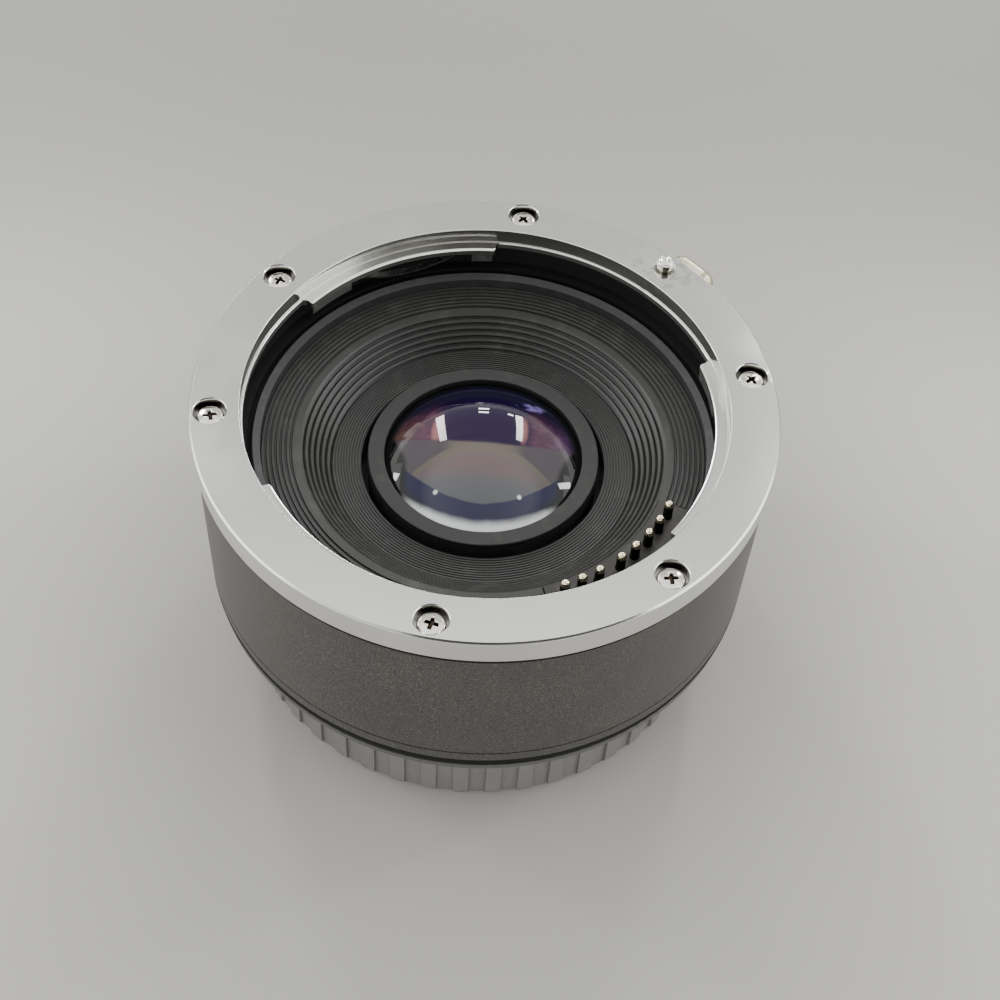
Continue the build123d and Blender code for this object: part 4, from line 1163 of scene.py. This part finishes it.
class Bench:
    """The modelling bench: short runs of Blender's own tools. Sizes come in millimetres."""

    @staticmethod
    def clear() -> None:
        """Deselect everything."""
        if bpy.context.object and bpy.context.object.mode != "OBJECT":
            bpy.ops.object.mode_set(mode="OBJECT")
        bpy.ops.object.select_all(action="DESELECT")

    @staticmethod
    def choose(piece: Piece) -> None:
        """Select one piece alone and make it the active one.

        Args:
            piece: The piece.
        """
        Bench.clear()
        piece.select_set(True)
        bpy.context.view_layer.objects.active = piece

    @staticmethod
    def draw(name: str, points: Sequence[Vector]) -> Piece:
        """Start a piece with one closed chain of edges, and stay in edit mode.

        Args:
            name: The piece's name.
            points: The corners of the chain.

        Returns:
            The piece.
        """
        Bench.clear()
        bpy.ops.mesh.primitive_plane_add(size=MM)
        piece = bpy.context.object
        piece.name = name
        bpy.ops.object.mode_set(mode="EDIT")
        bpy.ops.mesh.select_mode(type="VERT")
        bpy.ops.mesh.merge(type="CENTER")
        bpy.ops.transform.translate(value=points[0] * MM)
        for here, there in zip(points, [*points[1:], points[0]]):
            bpy.ops.mesh.extrude_vertices_move(TRANSFORM_OT_translate={"value": (there - here) * MM})
        bpy.ops.mesh.select_all(action="SELECT")
        return piece

    @staticmethod
    def close_mesh() -> None:
        """Merge what coincides, turn the faces outwards and leave edit mode."""
        bpy.ops.mesh.select_all(action="SELECT")
        bpy.ops.mesh.remove_doubles(threshold=MERGE_WITHIN)
        bpy.ops.mesh.normals_make_consistent(inside=False)
        bpy.ops.object.mode_set(mode="OBJECT")

    @staticmethod
    def spin(name: str, section: Sequence[Point], steps: Steps) -> Piece:
        """Turn a closed section of radius and height once about the upright axis.

        Args:
            name: The piece's name.
            section: The section's corners.
            steps: How finely the turn is divided.

        Returns:
            The turned piece.
        """
        piece = Bench.draw(name, [Vector((radius, 0, height)) for radius, height in section])
        bpy.ops.mesh.spin(steps=steps.value, angle=FULL_TURN, center=(0, 0, 0), axis=(0, 0, 1))
        Bench.close_mesh()
        return piece

    @staticmethod
    def plate(name: str, plan: Sequence[Point], bottom: float, top: float) -> Piece:
        """Raise a flat plan into a plate.

        Args:
            name: The piece's name.
            plan: The plan's corners.
            bottom: The height of its underside.
            top: The height of its top.

        Returns:
            The plate.
        """
        piece = Bench.draw(name, [Vector((*point, bottom)) for point in plan])
        bpy.ops.mesh.remove_doubles(threshold=MERGE_WITHIN)
        bpy.ops.mesh.edge_face_add()
        bpy.ops.mesh.extrude_region_move(TRANSFORM_OT_translate={"value": (0, 0, (top - bottom) * MM)})
        Bench.close_mesh()
        return piece

    @staticmethod
    def block(name: str, size: Vector) -> Piece:
        """Add a plain block about the origin, ready to be shaped.

        Args:
            name: The piece's name.
            size: Its three sides.

        Returns:
            The block.
        """
        Bench.clear()
        bpy.ops.mesh.primitive_cube_add(size=MM)
        piece = bpy.context.object
        piece.name = name
        piece.scale = size
        bpy.ops.object.transform_apply(scale=True)
        return piece

    @staticmethod
    def unpick(piece: Piece, kind: Element) -> None:
        """Deselect all of a piece's edges or faces, so that some can be picked out.

        Args:
            piece: The piece.
            kind: What is to be picked.
        """
        Bench.choose(piece)
        bpy.ops.object.mode_set(mode="EDIT")
        bpy.ops.mesh.select_mode(type=kind.value)
        bpy.ops.mesh.select_all(action="DESELECT")
        bpy.ops.object.mode_set(mode="OBJECT")

    @staticmethod
    def bevel_edges(piece: Piece, test: Test, width: float, segments: int) -> None:
        """Round some edges of a piece.

        Args:
            piece: The piece.
            test: Says from an edge's two ends, in millimetres, whether it is rounded.
            width: The width of the rounding.
            segments: Its steps.
        """
        Bench.unpick(piece, Element.EDGE)
        corners = piece.data.vertices
        for edge in piece.data.edges:
            first, last = (corners[index].co / MM for index in edge.vertices)
            edge.select = test(first, last)
        bpy.ops.object.mode_set(mode="EDIT")
        bpy.ops.mesh.bevel(offset=width * MM, segments=segments, affect="EDGES", clamp_overlap=True)
        Bench.close_mesh()

    @staticmethod
    def scale_faces(piece: Piece, test: Test, factor: Corner) -> None:
        """Scale some faces of a piece about their middle.

        Args:
            piece: The piece.
            test: Says from a face's middle and its normal whether it is scaled.
            factor: The scale along each axis.
        """
        Bench.unpick(piece, Element.FACE)
        for face in piece.data.polygons:
            face.select = test(face.center / MM, face.normal)
        bpy.ops.object.mode_set(mode="EDIT")
        bpy.ops.transform.resize(value=factor)
        bpy.ops.object.mode_set(mode="OBJECT")

    @staticmethod
    def apply(piece: Piece, kind: str, **settings: object) -> None:
        """Add a modifier, set it and apply it.

        Args:
            piece: The piece.
            kind: The modifier's type.
            settings: Its properties.
        """
        Bench.choose(piece)
        modifier = piece.modifiers.new(kind.lower(), kind)
        for key, value in settings.items():
            setattr(modifier, key, value)
        bpy.ops.object.modifier_apply(modifier=modifier.name)

    @staticmethod
    def combine(piece: Piece, other: Piece, how: Join) -> None:
        """Add another piece to this one or cut it away from it, and use it up."""
        Bench.apply(piece, "BOOLEAN", operation=how.value, object=other, solver="EXACT")
        bpy.data.objects.remove(other)

    @staticmethod
    def soften(piece: Piece, width: float, above: float = SHARP_ABOVE) -> None:
        """Round every edge of a piece that is sharper than an angle."""
        settings = {"limit_method": "ANGLE", "angle_limit": math.radians(above), "harden_normals": False}
        Bench.apply(piece, "BEVEL", width=width * MM, segments=2, **settings)

    @staticmethod
    def place(piece: Piece, where: Vector, turn: Corner = (0, 0, 0)) -> None:
        """Turn a piece about the origin, then move it, with its place kept in its mesh.

        Args:
            piece: The piece.
            where: Where its origin goes.
            turn: Its turns about the three axes.
        """
        Bench.choose(piece)
        piece.rotation_euler = [math.radians(angle) for angle in turn]
        piece.location = where * MM
        bpy.ops.object.transform_apply(location=True, rotation=True, scale=True)

    @staticmethod
    def copy(piece: Piece, name: str) -> Piece:
        """Copy a piece with a mesh of its own.

        Args:
            piece: The piece.
            name: The copy's name.

        Returns:
            The copy.
        """
        made = piece.copy()
        made.data = piece.data.copy()
        made.name = name
        bpy.context.scene.collection.objects.link(made)
        return made

    @staticmethod
    def join(pieces: Sequence[Piece]) -> Piece:
        """Join some pieces into the first of them.

        Args:
            pieces: The pieces.

        Returns:
            The first piece, which now holds them all.
        """
        Bench.choose(pieces[0])
        for piece in pieces:
            piece.select_set(True)
        bpy.ops.object.join()
        return bpy.context.object

    @staticmethod
    def discard(piece: Piece) -> None:
        """Throw a pattern piece away."""
        bpy.data.objects.remove(piece)

    @staticmethod
    def smooth(piece: Piece) -> None:
        """Shade a piece smooth, with its sharper edges and its flat faces kept.

        Args:
            piece: The piece.
        """
        Bench.choose(piece)
        bpy.ops.object.shade_smooth_by_angle(angle=math.radians(SHARP_ABOVE))
        Bench.apply(piece, "WEIGHTED_NORMAL", keep_sharp=True)


@dataclass
class Assembly:
    """A group of pieces that are modelled together."""

    def build(self) -> None:
        """Model and dress the group."""
        raise NotImplementedError

    def finish(self, piece: Piece, finish: Finish, body: str, slot: str, node: str) -> None:
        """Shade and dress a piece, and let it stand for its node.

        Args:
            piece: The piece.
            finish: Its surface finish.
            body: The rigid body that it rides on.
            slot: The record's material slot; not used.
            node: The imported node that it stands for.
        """
        Bench.smooth(piece)
        piece.data.materials.clear()
        piece.data.materials.append(finish.material())
        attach(piece, body)
        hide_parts(node)
        LOG.info("%s: %d faces", piece.name, len(piece.data.polygons))


@dataclass
class LensMount(Assembly):
    """The polished lens-side ring with its tabs, lips and six screws. Sizes are in millimetres."""

    face: float = high("front_mount")
    underside: float = high("front_shim")
    ring_r: float = reach("front_mount")
    throat_r: float = 27.0
    recess_r: float = 28.0
    rim_bevel: float = 0.2
    edge_round: float = 0.03
    throat_round: float = 0.1
    neck_r: float = 26.8
    neck_round: float = 0.15
    tab_spans: tuple[Point, ...] = ((91.0, 145.8), (-37.2, 20.6), (-150.0, -93.5))
    tab_r: float = 25.6
    tab_depth: float = 1.9
    tab_thickness: float = 0.8
    tab_corner: float = 0.3
    tab_root: float = 0.8
    tab_bevel: Point = (0.4, 0.2)
    seam: float = 0.01
    lip_radii: Point = (25.7, 26.6)
    lip_end_gaps: Point = (0.6, 0.4)
    lip_sweeps: Point = (5.7, 13.6)
    screw_circle_r: float = 30.2
    screw_angles: tuple[float, ...] = (84.9, 146.7, -170.7, -96.9, -47.8, 11.6)
    screw_turns: tuple[float, ...] = (41.0, 73.0, 17.5, 75.0, 6.5, 41.0)
    counterbore_r: float = 1.8
    counterbore_depth: float = 1.5
    mouth_bevel: float = 0.1
    screw_hole_r: float = 0.85
    pin_circle_r: float = 30.0
    pin_angle: float = 48.7
    pin_mouth_r: float = 1.22
    pin_mouth_depth: float = 0.35
    pin_hole_r: float = 1.0
    head_r: float = 1.5
    head_height: float = 0.9
    head_dome: float = 0.16
    head_round: float = 0.4
    shank_r: float = 0.8
    shank_length: float = 4.6
    cross_reach: float = 1.95
    cross_width: float = 0.56
    cross_depth: float = 0.62
    cross_taper: float = 0.62
    cross_round: float = 0.1 / 3
    cross_sharp: float = 50.0
    corner_steps: int = 6

    def build(self) -> None:
        """Model the ring and its screws."""
        self.build_ring()
        self.build_screws()

    def build_ring(self) -> None:
        """Turn the ring, add the tabs and lips, then bore it."""
        tab_top = self.face - self.tab_depth
        tab_low = tab_top - self.tab_thickness
        section = [
            (self.throat_r, self.face, self.throat_round),
            (self.ring_r - self.rim_bevel, self.face, self.edge_round),
            (self.ring_r, self.face - self.rim_bevel, self.edge_round),
            (self.ring_r, self.underside, self.throat_round),
            (self.recess_r, self.underside, self.throat_round),
            (self.recess_r, tab_low, 0),
            (self.neck_r, tab_low, self.throat_round),
            (self.neck_r, tab_top, self.neck_round),
            (self.throat_r, tab_top, 0),
        ]
        ring = Bench.spin("lens_side_ring", rounded(section), Steps.LARGE)
        for start, end in self.tab_spans:
            Bench.combine(ring, self.tab(start, end, tab_low, tab_top), Join.ADD)
            near, far = start + self.lip_end_gaps[0], end - self.lip_end_gaps[1]
            for first, last in ((near, near + self.lip_sweeps[0]), (far - self.lip_sweeps[1], far)):
                Bench.combine(ring, self.lip(first, last, tab_low), Join.ADD)
        Bench.combine(ring, self.bevel_cutter(tab_top), Join.CUT)
        Bench.combine(ring, self.bores(), Join.CUT)
        self.finish(ring, FLANGE_PLATING, Body.CONVERTER.value, "bayonet_chrome", "front_mount")

    def tab(self, start: float, end: float, tab_low: float, tab_top: float) -> Piece:
        """One bayonet tab with rounded roots and corners.

        Args:
            start: The angle of its first end.
            end: The angle of its last end.
            tab_low: The height of its underside.
            tab_top: The height of its top.

        Returns:
            The tab.
        """
        root_r = self.neck_r + self.neck_round
        back_r = (self.throat_r + self.recess_r) / 2
        run = math.degrees(2 * self.tab_root / root_r)
        corners = [(*point, 0) for point in arc_points(back_r, end + run, start - run)]
        corners.append((*at_angle(root_r, start - run).xy, 0))
        corners.append((*at_angle(root_r, start).xy, self.tab_root))
        inner = [(*point, 0) for point in arc_points(self.tab_r, start, end)]
        inner[0] = (*inner[0][:2], self.tab_corner)
        inner[-1] = (*inner[-1][:2], self.tab_corner)
        corners += inner
        corners.append((*at_angle(root_r, end).xy, self.tab_root))
        corners.append((*at_angle(root_r, end + run).xy, 0))
        return Bench.plate("tab", rounded(corners), tab_low + self.seam, tab_top - self.seam)

    def bevel_cutter(self, tab_top: float) -> Piece:
        """The cone that bevels the inner top edge of the tabs.

        Args:
            tab_top: The height of the tabs' top.

        Returns:
            The cutter.
        """
        across, down = self.tab_bevel
        section = [
            (self.tab_r - across, tab_top - 2 * down),
            (self.tab_r + across, tab_top),
            (self.tab_r + across, self.face),
            (self.tab_r - across, self.face),
        ]
        return Bench.spin("bevel_cutter", section, Steps.LARGE)

    def lip(self, start: float, end: float, tab_low: float) -> Piece:
        """One lip that hangs behind the end of a tab.

        Args:
            start: The angle of its first end.
            end: The angle of its last end.
            tab_low: The height of the tab's underside.

        Returns:
            The lip.
        """
        plan = sector(*self.lip_radii, start, end)
        lip = Bench.plate("lip", plan, low("front_mount"), tab_low + self.mouth_bevel)
        Bench.soften(lip, self.mouth_bevel)
        return lip

    def bores(self) -> Piece:
        """The forms that are cut away for the screws and the lock pin.

        Returns:
            The forms, joined into one.
        """
        counterbore = self.bore(self.counterbore_r, self.counterbore_depth, self.screw_hole_r)
        cutters = []
        for angle in self.screw_angles:
            cutter = Bench.copy(counterbore, "screw_bore")
            Bench.place(cutter, at_angle(self.screw_circle_r, angle, self.face))
            cutters.append(cutter)
        Bench.discard(counterbore)
        pin_bore = self.bore(self.pin_mouth_r, self.pin_mouth_depth, self.pin_hole_r)
        Bench.place(pin_bore, at_angle(self.pin_circle_r, self.pin_angle, self.face))
        return Bench.join([pin_bore, *cutters])

    def bore(self, mouth_r: float, depth: float, hole_r: float) -> Piece:
        """A stepped bore with a bevelled mouth, its mouth at height 0.

        Args:
            mouth_r: The radius of its wide part.
            depth: The depth of its wide part.
            hole_r: The radius of the hole below.

        Returns:
            The form that is cut away.
        """
        over = 2 * depth
        through = self.face - self.underside + over
        section = [
            (0, over),
            (mouth_r + self.mouth_bevel + over, over),
            (mouth_r, -self.mouth_bevel),
            (mouth_r, -depth),
            (hole_r, -depth),
            (hole_r, -through),
            (0, -through),
        ]
        return Bench.spin("bore", section, Steps.MEDIUM)

    def build_screws(self) -> None:
        """Model one cross-head screw and copy it to its six places."""
        below = [
            (self.head_r, 0, self.mouth_bevel),
            (self.shank_r, 0, 0),
            (self.shank_r, -self.shank_length, self.mouth_bevel),
            (0, -self.shank_length, 0),
        ]
        head = (self.head_r, self.head_height, self.head_dome, self.head_round)
        screw = Bench.spin("mount_screw", domed(*head, below, self.corner_steps), Steps.SMALL)
        for turn in (0, 90):
            Bench.combine(screw, self.cross_arm(turn), Join.CUT)
        Bench.soften(screw, self.cross_round, self.cross_sharp)
        seat = self.face - self.counterbore_depth
        for number, (angle, turn) in enumerate(zip(self.screw_angles, self.screw_turns), start=1):
            copy = Bench.copy(screw, f"mount_screw_{number}")
            Bench.place(copy, at_angle(self.screw_circle_r, angle, seat), (0, 0, turn))
            self.finish(copy, SCREW_STEEL, Body.CONVERTER.value, "screw_steel", "front_mount_screws")
        Bench.discard(screw)

    def cross_arm(self, turn: float) -> Piece:
        """One arm of the cross recess, narrower at its floor.

        Args:
            turn: Its turn about the screw's axis.

        Returns:
            The form that is cut away.
        """
        arm = Bench.block("cross_arm", Vector((self.cross_reach, self.cross_width, 2 * self.cross_depth)))
        taper = (self.cross_taper, self.cross_taper, 1)
        Bench.scale_faces(arm, lambda middle, normal: normal.z < -0.5, taper)
        Bench.place(arm, Vector((0, 0, self.head_height)), (0, 0, turn))
        return arm


@dataclass
class Lock(Assembly):
    """The lock pin and the knob that draws it down. Sizes are in millimetres."""

    pin_circle_r: float = LensMount.pin_circle_r
    pin_angle: float = LensMount.pin_angle
    pin_r: float = 0.95
    pin_round: float = 0.32
    pin_dome: float = 0.36
    foot_r: float = 1.2
    foot_height: float = 0.5
    foot_round: float = 0.1
    knob_angle: float = 46.2
    knob_inner_r: float = 32.8
    knob_size: Corner = (2.3, 6.2, 5.6)
    knob_corner: float = 1.7
    knob_edge: float = 1.45
    round_steps: int = 8
    head_seat: Point = (1.05, 0.6)
    shank_hole_r: float = 0.52
    stem_height: float = 33.0

    def build(self) -> None:
        """Model the pin and the knob."""
        self.build_pin()
        self.build_knob()

    def build_pin(self) -> None:
        """Turn the pin with its domed tip and its foot."""
        foot = low("lock_pin")
        below = [
            (self.pin_r, foot + self.foot_height, 0),
            (self.foot_r, foot + self.foot_height, self.foot_round),
            (self.foot_r, foot, self.foot_round),
            (0, foot, 0),
        ]
        tip = (self.pin_r, high("lock_pin"), self.pin_dome, self.pin_round)
        pin = Bench.spin("lock_pin_turned", domed(*tip, below, self.round_steps), Steps.SMALL)
        Bench.place(pin, at_angle(self.pin_circle_r, self.pin_angle))
        self.finish(pin, LOCK_STEEL, Body.RELEASE.value, "polished_steel", "lock_pin")

    def build_knob(self) -> None:
        """Round a block into the knob and sink the seat of its screw."""
        depth, width, height = self.knob_size
        knob = Bench.block("release_knob_cast", Vector(self.knob_size))
        outer_side = depth / 2 - MERGE_WITHIN / MM

        def across(first: Vector, last: Vector) -> bool:
            """Whether an edge runs outwards."""
            return abs(first.x - last.x) > depth / 2

        def outside(first: Vector, last: Vector) -> bool:
            """Whether an edge lies on the outer side."""
            return min(first.x, last.x) > outer_side

        Bench.bevel_edges(knob, across, self.knob_corner, self.round_steps)
        Bench.bevel_edges(knob, outside, self.knob_edge, self.round_steps)
        middle = high("release_knob") - height / 2
        seat_r, seat_depth = self.head_seat
        for radius, deep in ((seat_r, seat_depth), (self.shank_hole_r, 2 * depth)):
            section = [(0, -deep), (radius, -deep), (radius, deep), (0, deep)]
            cutter = Bench.spin("seat", section, Steps.TINY)
            Bench.place(cutter, Vector((depth / 2, 0, self.stem_height - middle)), (0, 90, 0))
            Bench.combine(knob, cutter, Join.CUT)
        where = at_angle(self.knob_inner_r + depth / 2, self.knob_angle, middle)
        Bench.place(knob, where, (0, 0, self.knob_angle))
        self.finish(knob, KNOB_PLATING, Body.RELEASE.value, "polished_steel", "release_knob")


@dataclass
class Contacts(Assembly):
    """The eight sprung pins with their ball tips. Sizes are in millimetres."""

    angles: tuple[float, ...] = (-64.4, -59.2, -53.6, -46.0, -40.3, -34.4, -28.7, -22.8)
    circle_r: float = 22.6
    pin_r: float = 0.525
    collar_r: float = 0.78
    collar_height: float = 0.6
    tail_r: float = 0.28
    tail_length: float = 1.4
    ball_steps: int = 8

    def build(self) -> None:
        """Turn one pin and copy it to its eight places."""
        tip = high("contact_pin_1")
        tail_low = low("contact_pin_1")
        collar_low = tail_low + self.tail_length
        collar_high = collar_low + self.collar_height
        shoulder = tip - self.pin_r
        section = [(0.0, tip)]
        for step in range(1, self.ball_steps + 1):
            turn = math.pi / 2 * step / self.ball_steps
            section.append((self.pin_r * math.sin(turn), shoulder + self.pin_r * math.cos(turn)))
        section += [
            (self.pin_r, collar_high),
            (self.collar_r, collar_high),
            (self.collar_r, collar_low),
            (self.tail_r, collar_low),
            (self.tail_r, tail_low),
            (0, tail_low),
        ]
        pin = Bench.spin("contact_pin", section, Steps.SMALL)
        for number, angle in enumerate(self.angles, start=1):
            copy = Bench.copy(pin, f"contact_ball_pin_{number}")
            Bench.place(copy, at_angle(self.circle_r, angle))
            self.finish(copy, CONTACT_GILT, f"contact_{number}", "contact_gilt", f"contact_pin_{number}")
        Bench.discard(pin)


@dataclass
class Optics(Assembly):
    """The front lens and the ring that holds it. Sizes are in millimetres."""

    glass_r: float = 11.95
    front_curve: float = 20.0
    back_curve: float = 40.0
    rim_height: float = 1.6
    bore_r: float = 11.35
    neck_r: float = 12.43
    ring_edge: float = 0.14
    flange_height: float = 0.5
    face_steps: int = 40

    def build(self) -> None:
        """Model the lens and its ring."""
        crown = high("front_element")
        rim_high = crown - self.front_curve + math.sqrt(self.front_curve**2 - self.glass_r**2)
        rim_low = rim_high - self.rim_height
        back = cap_arc(-self.back_curve, self.glass_r, rim_low, self.face_steps)
        section = cap_arc(self.front_curve, self.glass_r, rim_high, self.face_steps) + back[::-1]
        lens = Bench.spin("front_lens", section, Steps.LARGE)
        self.finish(lens, FRONT_GLASS, Body.CONVERTER.value, "coated_glass", "front_element")
        ring_r = reach("front_retaining_ring")
        top, bottom = high("front_retaining_ring"), low("front_retaining_ring")
        seat = top - self.flange_height
        section = [
            (self.bore_r, bottom, 0),
            (self.neck_r, bottom, 0),
            (self.neck_r, seat, 0),
            (ring_r, seat, self.ring_edge / 2),
            (ring_r, top, self.ring_edge),
            (self.bore_r, top, self.ring_edge),
        ]
        ring = Bench.spin("lens_ring", rounded(section), Steps.LARGE)
        self.finish(ring, RING_BLACK, Body.CONVERTER.value, "cell_black", "front_retaining_ring")


def dress_frame() -> None:
    """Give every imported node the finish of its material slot."""
    for row in frame["record"]["subparts"]:
        node = frame["nodes"][row["node"]]
        node.data.materials.clear()
        node.data.materials.append(SLOT_FINISHES[row["material_slot"]].material())


def main() -> None:
    """Build the scene in order and report each piece."""
    logging.basicConfig(level=logging.INFO, format="%(message)s")
    Studio().build()
    dress_frame()
    for assembly in (LensMount(), Lock(), Contacts(), Optics()):
        assembly.build()


if __name__ == "__main__":
    main()
